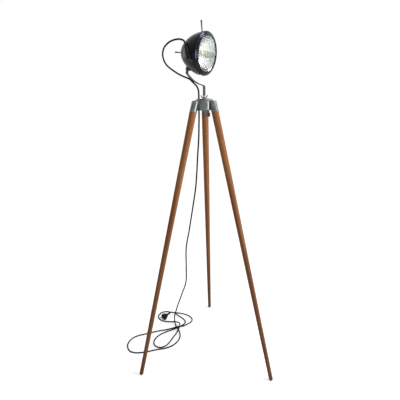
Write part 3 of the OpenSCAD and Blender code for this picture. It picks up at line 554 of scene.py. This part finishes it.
def hexagonal(width, bottom, top):
    """The limit that makes a lathe piece a hexagon of that width across flats: half the width
    over the cosine of the angle from the nearest flat's middle. At each end its corners are
    chamfered at 30 degrees."""
    def limit(a, h):
        flat = width / 2 / np.cos((a + np.pi / 6) % (np.pi / 3) - np.pi / 6)
        end = np.minimum(h - bottom, top - h)
        return np.minimum(flat, 0.485 * width + np.maximum(end, 0) / np.tan(np.radians(30)))
    return limit


def nut(name, width, bottom, top, bore, place, collar=0.0, collar_top=0.0):
    """A hexagonal nut with chamfered ends as a lathe piece, and a round collar above it if
    asked. The bore runs through."""
    edge = np.array([0, 0.0003, 0.0006, 0.0012])
    side = np.unique(np.concatenate([bottom + edge, np.linspace(bottom, top, 5), top - edge]))
    line = [[bore, top], [bore, bottom], *[[width, h] for h in side]]
    if collar:
        line[0:1] = [[bore, collar_top]]
        line += [[collar, top], [collar, top + 0.0002], [collar, collar_top]]
    limit = hexagonal(width, bottom, top)
    made = turned(name, line, place, sides=96, closed=True,
                  shape=lambda a, h: np.where(h > top + 1e-5, 1.0, limit(a, h)))
    made.data.set_sharp_from_angle(angle=np.radians(35))
    return made


stud_r, stud_pitch, stud_groove = 0.004, 0.00125, 0.0004
blackened_steel = finish("blackened_steel", 130.0, (0.085, 0.085, 0.088), (0.17, 0.165, 0.16),
                         (0.34, 0.52), 0.2, 0.0002, Metallic=1.0)
brown_steel = finish("brown_steel", 120.0, (0.10, 0.095, 0.080), (0.22, 0.218, 0.200),
                     (0.28, 0.42), 0.15, 0.0002, Metallic=1.0)
clamp_place = tripod_axis @ at(0, -0.0174, 0)
clamp_rod = turned("clamp_rod", thread(stud_r, 1.2000, drum_bottom, stud_pitch, stud_groove),
                   clamp_place, sides=32)
clamp_dome = turned("clamp_dome", [[0, 1.2715], [0.0058, 1.2715], [0.0060, 1.2719],
                                   [0.0060, 1.2722], [0.0054, 1.2729], [0.0038, 1.2735],
                                   [0.0020, 1.2738], [0, 1.2739]], clamp_place, sides=48)
fitted(joined("clamp_bolt_rod", clamp_rod, clamp_dome), blackened_steel, "tripod",
       "clamp_bolt")
fitted(nut("clamp_nut_hex", 0.018, 1.2010, 1.2170, 0.0037, clamp_place, 0.006, drum_bottom),
       brown_steel, "tripod", "clamp_nut")


# ---- The swivel: stud, washers, lock nut and wing nut
# A zinc-plated stud in the middle of the head, welded to the strap. Under the wing nut and
# over the lock nut lies a plain washer. The wing nut is cast brass gone brown, its wings
# thick at the root and thin at the tip.
def washer(radius, bore, bottom, top):
    """A plain washer's profile, its edges slightly rounded from stamping."""
    ring = [[bore, (bottom + top) / 2], [bore, bottom], [radius, bottom], [radius, top],
            [bore, top], [bore, (bottom + top) / 2]]
    return rounded(ring, 0.0003)[:-1]


def bar(name, outline, thickness, place, soft):
    """A flat plate with the outline of [x, z] points, of that thickness in y, closed on both
    faces and with its edges bevelled by the soft radius. An outline that runs clockwise is
    turned over, so that the faces look out."""
    outline = np.array(outline, float)
    x, z = outline.T
    if (x * np.roll(z, -1) - z * np.roll(x, -1)).sum() < 0:
        outline = outline[::-1]
    n = len(outline)
    rows = np.array([[x, y, z] for y in (-thickness / 2, thickness / 2) for x, z in outline])
    mesh = bpy.data.meshes.new(name)
    faces = [list(range(n)), list(range(2 * n - 1, n - 1, -1))]
    faces += [[k, k + n, (k + 1) % n + n, (k + 1) % n] for k in range(n)]
    mesh.from_pydata(moved(rows, place).tolist(), [], faces)
    mesh.update()
    piece = bpy.data.objects.new(name, mesh)
    bpy.context.scene.collection.objects.link(piece)
    bevel = piece.modifiers.new("soft", "BEVEL")
    bevel.width, bevel.segments, bevel.limit_method, bevel.angle_limit = soft, 3, "ANGLE", 0.5
    bevel.harden_normals = True
    piece.data.polygons.foreach_set("use_smooth", np.ones(len(faces), bool))
    return piece


stud_top, washer_sheet, lock_height = 1.2836, 0.0016, 0.0065
washer_top, lock_top = disc_top + washer_sheet, recess_top - washer_sheet
fitted(turned("stud", thread(stud_r, 1.2390, stud_top, stud_pitch, stud_groove), tripod_axis,
              sides=32), bright_zinc, "bracket", "swivel_stud")
upper, lower = (turned(name, washer(radius, 0.0041, bottom, top), tripod_axis, closed=True)
                for name, radius, bottom, top in (("upper", 0.0095, disc_top, washer_top),
                                                  ("lower", 0.0080, lock_top, recess_top)))
fitted(joined("washers", upper, lower), bright_zinc, "bracket", "swivel_washer")
fitted(nut("lock_nut", 0.013, lock_top - lock_height, lock_top, 0.0037, tripod_axis),
       brown_steel, "bracket", "swivel_lock_nut")

wing_place = tripod_axis @ at(0, 0, washer_top) @ turned_by(-57, "Z")
wing_hub = turned("wing_hub", rounded([[0.0037, 0.0035], [0.0037, 0], [0.0080, 0],
                                       [0.0066, 0.0065], [0.0037, 0.0065],
                                       [0.0037, 0.0035]], 0.0008)[:-1], wing_place,
                  sides=48, closed=True)
wing_line = 0.001 * np.array([[5.2, 0.6], [8.0, 0.6], [11.5, 5.0], [15.5, 11.0], [14.9, 12.6],
                              [14.0, 13.0], [11.5, 12.6], [9.2, 9.0], [6.4, 6.2], [5.2, 6.0]])
wings = [bar(f"wing_{k}", wing_line * (k, 1), 0.0032, wing_place, 0.0012) for k in (-1, 1)]
brown_brass = finish("brown_brass", 150.0, (0.12, 0.070, 0.045), (0.24, 0.155, 0.105),
                     (0.30, 0.46), 0.25, 0.0003, Metallic=1.0)
for piece in (wing_hub, *wings):
    fitted(piece, brown_brass, "wing_nut_body", "wing_nut")


# ---- The strap
# Flat steel, 16 by 3 mm, dark with old grey paint and rolled to an eye at the top. It is
# welded into the stud's slot, stands up, leans out in a long bow and hooks back under the lamp.
def around(radius, angles):
    """Points of a circle about zero, each its [cosine, sine] times the radius."""
    return radius * np.stack([np.cos(angles), np.sin(angles)], axis=1)


def flat_bar(half_width, half_thickness, soft):
    """The section of a flat bar with soft corners, as [across, off] points round it."""
    arc = around(soft, np.radians([-90, -60, -30, 0]))
    middle = np.array([half_width, half_thickness]) - soft
    half = np.concatenate([[[0, -half_thickness], [0.5 * half_width, -half_thickness]],
                           [[half_width - 1.4 * soft, -half_thickness]], arc + middle * (1, -1),
                           [[half_width, 0]], arc[::-1] * (1, -1) + middle,
                           [[half_width - 1.4 * soft, half_thickness],
                            [0.5 * half_width, half_thickness]]])
    return np.concatenate([half, -half])


def closed_bar(name, grid, ends, place=None):
    """A bar over a grid of sections, with both ends closed on their middles."""
    ends = np.broadcast_to(ends, (2, *grid.shape[1:]))
    grid = np.concatenate([ends[:1], grid, ends[1:]])
    return skin(name, grid if place is None else moved(grid, place))


# The strap's middle line in millimetres, out from the tripod's axis and up: the riser, a tight
# corner, the long bow, the hook and its straight tail to the hinge.
riser_foot, riser_top, corner_foot = 1284.2, 1318, 1320
corner_r, bow_r, hook_r, tail = 4.5, 146, 9, 8
corner_turn = np.radians(np.linspace(90, 13, 9))
bow_turn = np.radians(np.linspace(13, 50, 40))
hook_turn = np.radians(np.linspace(50, 130, 14))


def bend(start, radius, turns):
    """An arc from a start point: its steps are the radius times [sin, -cos] of the turns."""
    return start + radius * np.stack([np.sin(turns) - np.sin(turns[0]),
                                      np.cos(turns[0]) - np.cos(turns)], axis=1)


corner = np.stack([corner_r - corner_r * np.sin(corner_turn),
                   corner_foot + corner_r * np.cos(corner_turn)], axis=1)
bow = bend(corner[-1], bow_r, bow_turn)
hook = bend(bow[-1], hook_r, hook_turn)
hinge = hook[-1] + tail * np.array([np.cos(hook_turn[-1]), np.sin(hook_turn[-1])])
strap_line = 0.001 * np.vstack([
    np.stack([np.zeros(12), np.linspace(riser_foot, riser_top, 12)], axis=1), corner, bow[1:],
    hook[1:], hook[-1] + (hinge - hook[-1]) * np.array([[0.15], [0.3], [0.45]])]) + (axis_y, 0)
hinge_at = at(0, axis_y + 0.001 * hinge[0], 0.001 * hinge[1])
strap_way = ways(strap_line)
strap_off = np.stack([-strap_way[:, 1], strap_way[:, 0]], axis=1)
bar_section = flat_bar(0.008, 0.0015, 0.0006)
yz = strap_line[:, None] + bar_section[None, :, 1:] * strap_off[:, None]
strap_grid = np.concatenate([np.broadcast_to(bar_section[None, :, :1], yz[..., :1].shape), yz],
                            axis=-1)
strap_ends = np.concatenate([np.zeros((2, 1)), strap_line[[0, -1]]], axis=1)[:, None]
strap_bar = closed_bar("strap_bar", strap_grid[::-1], strap_ends[::-1])
stud_head = turned("stud_head", rounded([[0, stud_top], [stud_r, stud_top], [stud_r, 1.2920],
                                         [0, 1.2920]], 0.0008), tripod_axis, sides=32)
bolt_place = hinge_at @ turned_by(90, "Y")
strap_eye = turned("strap_eye", rounded([[0.00255, 0], [0.00255, -0.008], [0.0055, -0.008],
                                         [0.0055, 0.008], [0.00255, 0.008], [0.00255, 0]],
                                        0.0005)[:-1], bolt_place, sides=48, closed=True)
grey_paint = finish("grey_paint", 110.0, (0.028, 0.029, 0.030), (0.052, 0.054, 0.056),
                    (0.36, 0.52), 0.2, 0.0003, Metallic=0.3, Specular_IOR_Level=0.3)
fitted(stud_head, grey_paint, "bracket", "swivel_stud")
fitted(joined("strap_and_eye", strap_bar, strap_eye), grey_paint, "bracket", "strap")


# ---- The tilt hinge
# A small hexagonal bolt of blackened steel through the ears and the strap's eye, with its nut
# on the left.
tilt_rod = turned("tilt_rod", thread(0.0025, -0.0165, 0.0110, 0.0008, 0.0002), bolt_place,
                  sides=28)
tilt_head = nut("tilt_head", 0.008, 0.0110, 0.0145, 0.0, bolt_place)
fitted(joined("tilt_bolt_hex", tilt_rod, tilt_head), blackened_steel, "lamp", "tilt_bolt")
fitted(nut("tilt_nut_hex", 0.008, -0.0150, -0.0110, 0.0023, bolt_place), blackened_steel,
       "lamp", "tilt_nut")


# ---- The bowl
# Deep-drawn steel sheet, 1.2 mm, in gloss black enamel with a slight orange peel. Its outline
# is r = 79.4 (1 - (s / 113)^1.75)^(1 / 1.75) mm, from the mouth to a small flat at the back.
lamp_place = at(0, 0.0754342, 1.4403997) @ turned_by(7.7 - 90, "X")
bowl_r, bowl_length, bowl_power, sheet = 0.0794, 0.113, 1.75, 0.0012
mouth_s, back_s, hole_r = 0.006, 0.1175, 0.0060


def bowl(s, out=0.0):
    """The bowl's radius at the place s along the lamp's axis, and that much further out."""
    depth = np.clip((s - mouth_s) / (bowl_length + out), 0, 1)
    return (bowl_r + out) * (1 - depth ** bowl_power) ** (1 / bowl_power)


def bowl_lean(s):
    """How far the bowl's side leans in at the place s, as an angle to the lamp's axis."""
    return np.arctan((bowl(s - 0.001) - bowl(s + 0.001)) / 0.002)


quarter = np.sin(np.radians(np.linspace(0, 90, 90)))
outer_s = mouth_s + (back_s - mouth_s) * quarter
inner_s = mouth_s + (back_s - sheet - mouth_s) * quarter
outer = np.stack([bowl(outer_s), outer_s], axis=1)
inner = np.stack([bowl(inner_s, -sheet), inner_s], axis=1)
shell_line = np.vstack([[[0.0793, mouth_s]], outer[1:],
                        [[0.0062, back_s], [hole_r, 0.1173], [hole_r, 0.1165],
                         [0.0062, back_s - sheet]], inner[:0:-1], [[0.0783, mouth_s]]])
gloss_black = finish("gloss_black", 60.0, (0.0045, 0.0042, 0.0040), (0.0075, 0.0070, 0.0068),
                     (0.20, 0.27), 0.04, 0.0003, Specular_IOR_Level=0.12)
fitted(turned("bowl", shell_line, lamp_place, sides=160, closed=True), gloss_black, "lamp",
       "shell")


# ---- The saddle and its rivets
# A steel plate pressed to the bowl's underside, painted with the strap, with an ear welded to
# each side for the hinge bolt. Two domed rivets hold it.
saddle_from, saddle_to = 0.026, 0.0759
saddle_s = np.linspace(saddle_from, saddle_to, 40)[:, None]
plate = flat_bar(0.011, 0.0010, 0.0005)[None]
plate_r = bowl(saddle_s, plate[..., 1] + 0.00105)
x = plate[..., 0] * np.minimum(1, 0.78 + 60 * np.minimum(saddle_s - saddle_from,
                                                         saddle_to - saddle_s))
saddle_grid = np.stack([x, np.sqrt(plate_r ** 2 - x ** 2), np.broadcast_to(saddle_s, x.shape)],
                       axis=-1)
saddle_plate = closed_bar("saddle_plate", saddle_grid,
                          saddle_grid[[0, -1]].mean(axis=1, keepdims=True), lamp_place)
ear_r, ear_sheet, ear_x = 0.0062, 0.0025, 0.00975
hinge_y, hinge_s = (lamp_place.inverted() @ hinge_at).translation[1:]
ear_turn = np.linspace(np.pi, 0, 20) - bowl_lean(hinge_s)
ear_foot = np.linspace(hinge_s + 0.004, hinge_s - 0.022, 12)
ear_outline = np.vstack([np.stack([ear_foot, bowl(ear_foot, -0.0004)], axis=1),
                         around(ear_r, ear_turn) + (hinge_s, hinge_y)])
in_plane = Matrix(((0, 1, 0, 0), (0, 0, 1, 0), (1, 0, 0, 0), (0, 0, 0, 1)))
ears = [bar("ear", ear_outline, ear_sheet, lamp_place @ at(x, 0, 0) @ in_plane, 0.0004)
        for x in (-ear_x, ear_x)]
for piece in (saddle_plate, *ears):
    fitted(piece, grey_paint, "lamp", "saddle")
rivet_line = [[0, 0.0015], [0.0034, 0.0019], [0.0034, 0.0023], [0.0031, 0.0029],
              [0.0020, 0.0035], [0, 0.0037]]


def on_bowl(s, bearing=0):
    """A place on the bowl in the lamp's frame, with +Z out of the sheet. Its bearing is
    counted in degrees from the underside."""
    return (turned_by(bearing, "Z") @ at(0, bowl(s), s)
            @ Matrix.Rotation(bowl_lean(s) - np.pi / 2, 4, "X"))


fitted(joined("rivets", *[turned("rivet", rivet_line, lamp_place @ on_bowl(s), sides=40)
                          for s in (0.040, 0.066)]),
       grey_paint, "lamp", "saddle_rivets")


# ---- The rim
# A spun steel ring in black chrome: a skirt over the bowl's mouth, a round shoulder, a bezel
# that slopes forward to the lens, a groove, and a bead at its inner edge. One screw below
# holds it.
rim_points = 0.001 * np.array([
    [79.55, 6], [79.55, 10.6], [80.75, 10.6], [80.75, 3.6], [80.3, 2.1], [79.2, 1],
    [77.4, -0.1], [75.4, -1], [74, -1.5], [73.2, -1.2], [72.5, -1.7], [71.6, -2.7],
    [69.8, -3.7], [67.6, -4.4], [65.8, -4.4], [64.7, -3.7], [64.4, -2.9], [64.5, -2.5],
    [69.4, -2.5], [70.6, -1.6], [72, -0.6], [74, 0.3], [76.4, 1.1], [78.2, 1.9], [79.2, 2.8],
    [79.55, 3.8], [79.55, 6]])
rim_line = rounded(rim_points, 0.0030, guard=0.0001)[:-1]
black_chrome = finish("black_chrome", 80.0, (0.010, 0.010, 0.014), (0.018, 0.018, 0.025),
                      (0.08, 0.14), 0.04, 0.0002, Metallic=1.0)
fitted(turned("rim_ring", rim_line, lamp_place, sides=200, closed=True), black_chrome, "lamp",
       "rim")
fitted(slotted("rim_screw_head", 0.0028, 0.0011, 0.0008, 0.0006,
               lamp_place @ at(0, 0.0807, 0.0084) @ turned_by(-90, "X")),
       blackened_steel, "lamp", "rim_screw")


# ---- The lens and its ring
# Pressed clear glass, 3.2 mm: a shallow dome on a thick wall, with a flat flange at the back.
# The front is smooth, and the back has upright flutes, 5.2 mm apart, that spread the light
# sideways, and a level band of ribs across its middle. It lies on a rubber ring.
pressed_r, dome_r, dome_centre, glass = 0.0580, 0.2407, 0.2298, 0.0032
flute_pitch, flute_depth, rib_pitch, rib_depth, band = 0.0052, 0.00048, 0.0048, 0.00070, 0.0085


def dome(radii, centre):
    """The lens's dome: its height at each radius, on a sphere about a centre on the axis."""
    return np.stack([radii, centre - np.sqrt(dome_r ** 2 - radii ** 2)], axis=1)


front = dome(np.linspace(0, 0.0634, 60), dome_centre)
back = dome(np.linspace(pressed_r, 0, 90), dome_centre + glass)
lens_line = np.vstack([front, [[0.0637, -0.0022], [0.0685, -0.0022], [0.0688, -0.0019],
                               [0.0688, 0.0014], [0.0757, 0.0014], [0.0760, 0.0017],
                               [0.0760, 0.0029], [0.0757, 0.0032], [0.0592, 0.0032],
                               [0.0588, 0.0029]], back])
a = np.linspace(0, 2 * np.pi, 360, endpoint=False)[None]
r, h = lens_line[:, :1], lens_line[:, 1:]
across, up = r * np.cos(a), r * np.sin(a)
on_back = (np.arange(len(lens_line)) >= len(lens_line) - len(back))[:, None]
fade_in = np.clip((pressed_r - r) / 0.004, 0, 1)
flutes = flute_depth * np.abs(np.cos(np.pi * across / flute_pitch))
ribs = rib_depth * np.abs(np.cos(np.pi * up / rib_pitch))
in_band = np.clip((band - np.abs(up)) / 0.0010, 0, 1)
relief = (flutes * (1 - in_band) + ribs * in_band) * on_back * fade_in
lens = skin("lens_dome", moved(np.stack([across, up, h + relief], axis=-1), lamp_place))
own_points(lens, lamp_place)


def middle_band(tree, full, gone):
    """1 within the full distance of the lamp's level middle and 0 beyond the gone distance,
    from the piece's own points."""
    up = node(tree, "SeparateXYZ", Vector=own_place(tree)).outputs["Y"]
    off = node(tree, "Math", operation="ABSOLUTE", in_0=up).outputs["Value"]
    return ranged(tree, off, full, gone, 1.0, 0.0, interpolation_type="SMOOTHSTEP")


# The glass is faintly green. Where the ribs are it is tinted yellowish grey, a painted reflection
# of a dark band.
clear_glass, tree, shader = material("clear_glass", Transmission_Weight=1.0, IOR=1.5,
                                     Roughness=0.02)
ripple = node(tree, "TexNoise", Vector=node(tree, "TexCoord").outputs["Object"], Scale=95.0,
              Detail=2.0)
dent = node(tree, "Bump", Strength=0.12, Distance=0.0006, Height=ripple.outputs["Fac"])
feed(tree, shader, Normal=dent.outputs["Normal"],
     Base_Color=mixed(tree, middle_band(tree, 0.0070, 0.0110), (0.965, 0.980, 0.970, 1),
                      (0.85, 0.85, 0.74, 1)))
fitted(lens, clear_glass, "lamp", "lens")
gasket_line = rounded([[0.0664, 0.0040], [0.0664, 0.0032], [0.0772, 0.0032], [0.0772, 0.0048],
                       [0.0664, 0.0048], [0.0664, 0.0040]], 0.0004)
fitted(turned("gasket", gasket_line[:-1], lamp_place, sides=96, closed=True), matt_rubber,
       "lamp", "lens_gasket")


# ---- The reflector
# A spun paraboloid, silvered inside, with a flat flange on the bowl's mouth and a short neck
# for the lamp holder. Its focal length is 22 mm: s = 51 - r^2 / 88 mm.
neck_r, dish_back, focus = 0.0156, 0.05099, 0.022
dish_r = np.linspace(neck_r, 0.0625, 60)
dish = np.stack([dish_r, dish_back - dish_r ** 2 / (4 * focus)], axis=1)
reflector_line = np.vstack([
    [[neck_r, 0.0580]], dish, [[0.0640, 0.0049], [0.0784, 0.0048], [0.0784, 0.0060],
                               [0.0650, 0.0060]],
    dish[::-1] + (0.0011, 0.0009), [[0.0168, 0.0500], [0.0168, 0.0580]]])
reflector = turned("dish", reflector_line, lamp_place, sides=160, closed=True)
own_points(reflector, lamp_place)
silvering, tree, shader = material("silvering", Metallic=1.0)
silver = worn(tree, shader, 38.0, (0.62, 0.63, 0.62), (0.90, 0.905, 0.90), (0.10, 0.17),
              0.10, 0.0006)
# A dark yellowish band across the middle, on both sides of the bulb, is a painted reflection drawn
# into the silvering's colour.
feed(tree, shader, Base_Color=mixed(tree, middle_band(tree, 0.0050, 0.0160), silver,
                                    (0.11, 0.11, 0.078, 1)))
fitted(reflector, silvering, "lamp", "reflector")


# ---- The bulb and its holder
# A small pearl-glass bulb with a brass cap, in a cream plastic holder that clips into the
# reflector's neck with its flange.
bulb_r, bulb_s = 0.013, 0.028
bulb_line = np.vstack([around(bulb_r, np.radians(np.linspace(-90, 40, 28))) + (0, bulb_s),
                       [[0.0086, 0.0385], [0.0076, 0.0415], [0.0069, 0.0450],
                        [0.0068, 0.0480], [0, 0.0480]]])
bulb_line[0, 0] = 0
pearl_glass = finish("pearl_glass", 60.0, (0.74, 0.74, 0.70), (0.82, 0.82, 0.79), (0.12, 0.2),
                     0.02, 0.0002, Specular_IOR_Level=0.5)
fitted(turned("bulb", bulb_line, lamp_place), pearl_glass, "lamp", "bulb_glass")
cap_line = rounded([[0, 0.0480], [0.0069, 0.0480], [0.0069, 0.0640], [0.0050, 0.0642],
                    [0.0026, 0.0680], [0, 0.0680]], 0.0008)
cap_brass = finish("cap_brass", 120.0, (0.52, 0.44, 0.26), (0.66, 0.58, 0.38), (0.25, 0.38),
                   0.1, 0.0002, Metallic=1.0)
fitted(turned("cap", cap_line, lamp_place, sides=48), cap_brass, "lamp", "bulb_cap")
holder_line = rounded([[0, 0.08625], [0.0153, 0.08625], [0.0153, 0.0605], [0.0186, 0.0605],
                       [0.0186, 0.0580], [0.0153, 0.0580], [0.0153, 0.0500], [0.0070, 0.0500],
                       [0.0070, 0.0685], [0, 0.0685]], 0.0006)
cream_plastic = finish("cream_plastic", 80.0, (0.66, 0.62, 0.53), (0.74, 0.70, 0.61),
                       (0.4, 0.55), 0.1, 0.0003, Specular_IOR_Level=0.45)
fitted(turned("holder", holder_line, lamp_place, sides=72), cream_plastic, "lamp",
       "lamp_holder")


# ---- The terminal block
# A cream plastic two-way block on a peg inside the bowl, where the cord's wires are screwed
# to the holder's and the switch's.
def box_in_lamp(name, x, y, s, soft):
    """A block between two values each of x, y and s of the lamp's frame."""
    outline = [[s[0], y[0]], [s[1], y[0]], [s[1], y[1]], [s[0], y[1]]]
    return bar(name, outline, x[1] - x[0],
               lamp_place @ at((x[0] + x[1]) / 2, 0, 0) @ in_plane, soft)


block = box_in_lamp("block", (-0.010, 0.010), (0.0520, 0.0620), (0.0465, 0.0585), 0.0008)
peg = turned("peg", [[0, 0], [0.0024, 0], [0.0024, 0.0070], [0, 0.0070]],
             lamp_place @ at(0, 0.0610, 0.0495) @ turned_by(-90, "X"), sides=24)
for piece in (block, peg):
    fitted(piece, cream_plastic, "lamp", "terminal_block")


# ---- The switch
# A brown moulded toggle switch inside the bowl, with two solder tabs. Its threaded nickel
# bush comes out through the bowl's back under a washer and a hexagonal nut, and the lever
# ends in a soft point.
switch_box = box_in_lamp("switch_box", (-0.0065, 0.0065), (-0.010, 0.010), (0.0923, 0.1083),
                         0.0010)
brown_resin = finish("brown_resin", 100.0, (0.10, 0.032, 0.020), (0.16, 0.055, 0.034),
                     (0.32, 0.45), 0.08, 0.0002, Specular_IOR_Level=0.5)
tabs = [box_in_lamp(f"tab_{k}", (-0.002, 0.002), (y - 0.0004, y + 0.0004), (0.0863, 0.0930),
                    0.0001) for k, y in enumerate((-0.006, 0.006))]
for piece, look in zip((switch_box, *tabs), (brown_resin, cap_brass, cap_brass)):
    fitted(piece, look, "lamp", "switch_body")
collar_h = np.linspace(0.1212, 0.1256, 40)
collar_r = 0.00595 - grooved(collar_h - 0.1212, 0.0008, 0.0003)
switch_collar = turned("switch_collar", np.vstack([
    [[0.0038, 0.1150], [0.0038, 0.1083], [0.00595, 0.1083], [0.00595, 0.1210]],
    np.stack([collar_r, collar_h], axis=1),
    [[0.0054, 0.1260], [0.0041, 0.1260], [0.0038, 0.1257]]]), lamp_place, sides=56, closed=True)
switch_ring = turned("switch_ring", washer(0.0084, 0.0060, 0.1175, 0.1183), lamp_place,
                     sides=56, closed=True)
switch_hex = nut("switch_hex", 0.014, 0.1183, 0.1208, 0.0058, lamp_place)
for piece, part in ((switch_collar, "switch_bush"), (switch_ring, "switch_washer"),
                    (switch_hex, "switch_nut")):
    fitted(piece, satin_nickel, "lamp", part)
lever_line = np.vstack([[[0, 0.1120], [0.0015, 0.1120], [0.0015, 0.1160]],
                        around(0.0037, np.radians(np.linspace(-64, 52, 16))) + (0, 0.120),
                        rounded([[0.0019, 0.1260], [0.0032, 0.1550], [0.0031, 0.1578],
                                 [0.0022, 0.1594], [0, 0.1600]], 0.0012)])
fitted(turned("lever", lever_line, lamp_place, sides=40), satin_nickel, "lever_body",
       "switch_lever")


# ---- The handle
# A satin nickel rod on top of the bowl, leaning a little back, thin at its foot and wider at
# its flat end, with a collar on the sheet and a nut inside.
handle_s = 0.031
handle_place = lamp_place @ at(0, -bowl(handle_s), handle_s) @ turned_by(78, "X")
rod_line = rounded([[0, -0.0080], [0.0024, -0.0080], [0.0024, 0.0009], [0.0040, 0.0009],
                    [0.0040, 0.0027], [0.0024, 0.0030], [0.0024, 0.0060], [0.0037, 0.0414],
                    [0.0030, 0.0427], [0, 0.0430]], 0.0008)
rod = turned("rod", rod_line, handle_place, sides=40)
rod_nut = nut("rod_nut", 0.008, -0.0056, -0.0024, 0.0022, handle_place)
for piece, part in ((rod, "handle"), (rod_nut, "handle_nut")):
    fitted(piece, satin_nickel, "lamp", part)


# ---- The cord's boot
# Soft black rubber, moulded in one: a lip inside the sheet, a low dome over the hole and a
# slanted, ribbed tail round the cord.
boot_s, boot_bearing, boot_rise, boot_length = 0.0175, 66, 0.0034, 0.0132
boot_line = rounded([[0, -0.0036], [0.0062, -0.0036], [0.0062, -0.0018], [0.00495, -0.0018],
                     [0.00495, -0.0010], [0.0066, -0.0008], [0.0065, 0.0020], [0.0054, 0.0058],
                     [0.0040, 0.0062], [0, 0.0062]], 0.0010)
boot_hole = on_bowl(boot_s, boot_bearing)
tail_foot = boot_hole @ Vector((0, 0, boot_rise))
tail_place = lamp_place @ at(*tail_foot) @ turned_by(222, "Z") @ turned_by(46, "Y")
tail_h = np.linspace(0, boot_length, 70)
tail_r = 0.0053 - 0.05 * tail_h - grooved(tail_h, boot_length / 4.5, 0.0005)
boot_dome = turned("boot_dome", boot_line, lamp_place @ boot_hole, sides=48)
boot_tail = turned("boot_tail", np.vstack([
    [[0, -0.0015], [0.0052, -0.0015]], np.stack([tail_r, tail_h], axis=1),
    [[0.0042, 0.0139], [0.0037, 0.0140], [0, 0.0139]]]), tail_place, sides=48)
fitted(joined("boot", boot_dome, boot_tail), matt_rubber, "lamp", "shell_cord_boot")


# ---- The studio
# A white floor without an edge, in a white room that only the camera, metal and glass see at
# full strength. One soft light stands low in front, one hangs high at the front right, and a
# weak one stands behind.
floor = skin("floor", np.array([[[x, y, 0.0] for y in (-30.0, 30.0)] for x in (-30.0, 30.0)]),
             round_v=False)


def seen_directly(tree):
    """1 for rays from the camera, a mirror or glass, and 0 for diffuse and shadow rays."""
    path = node(tree, "LightPath").outputs
    first = node(tree, "Math", operation="MAXIMUM", in_0=path["Is Camera Ray"],
                 in_1=path["Is Glossy Ray"])
    return node(tree, "Math", operation="MAXIMUM", in_0=first.outputs[0],
                in_1=path["Is Transmission Ray"]).outputs[0]


studio_white, tree, shader = material("studio_white", Roughness=1.0, Specular_IOR_Level=0.0,
                                      Base_Color=(0.86, 0.86, 0.86, 1),
                                      Emission_Color=(1, 1, 1, 1))
away = node(tree, "VectorMath", operation="LENGTH", in_0=node(tree, "TexCoord").outputs["Object"])
lift = node(tree, "Math", operation="MULTIPLY", in_0=seen_directly(tree),
            in_1=ranged(tree, away.outputs["Value"], 1.0, 5.0, 0.50, 0.72))
feed(tree, shader, Emission_Strength=lift.outputs[0])
floor.data.materials.append(studio_white)

# In a mirror the room is bright and cool at the front right, and dim and warm opposite.
room = bpy.data.worlds.new("room")
room.use_nodes = True
tree = room.node_tree
front_right = node(tree, "VectorMath", operation="DOT_PRODUCT", in_1=(0.56, -0.83, 0.25),
                   in_0=node(tree, "TexCoord").outputs["Object"])
sides = mixed(tree, ranged(tree, front_right.outputs["Value"], -1.0, 1.0),
              (0.56, 0.54, 0.47, 1), (1.66, 1.76, 1.84, 1))
in_mirrors = node(tree, "LightPath").outputs["Is Glossy Ray"]
feed(tree, tree.nodes["Background"], Color=mixed(tree, in_mirrors, (1, 1, 1, 1), sides),
     Strength=ranged(tree, seen_directly(tree), 0.0, 1.0, 0.38, 1.0))
bpy.context.scene.world = room


def softbox(name, place, towards, size, power):
    """A square area light that faces a point."""
    light = bpy.data.objects.new(name, bpy.data.lights.new(name, "AREA"))
    light.data.shape = "RECTANGLE"
    light.data.size = light.data.size_y = size
    light.data.energy = power
    light.location = place
    light.rotation_euler = (light.location - Vector(towards)).to_track_quat("Z", "Y").to_euler()
    bpy.context.scene.collection.objects.link(light)


softbox("key", (0.2, -3.05, 0.9), (0.0, 0.1, 1.2), 0.9, 52.0)
softbox("top", (1.2, -1.9, 3.0), (0.0, 0.1, 1.3), 0.9, 56.0)
softbox("fill", (-0.1, 2.6, 1.8), (0.0, 0.1, 1.3), 1.2, 10.0)
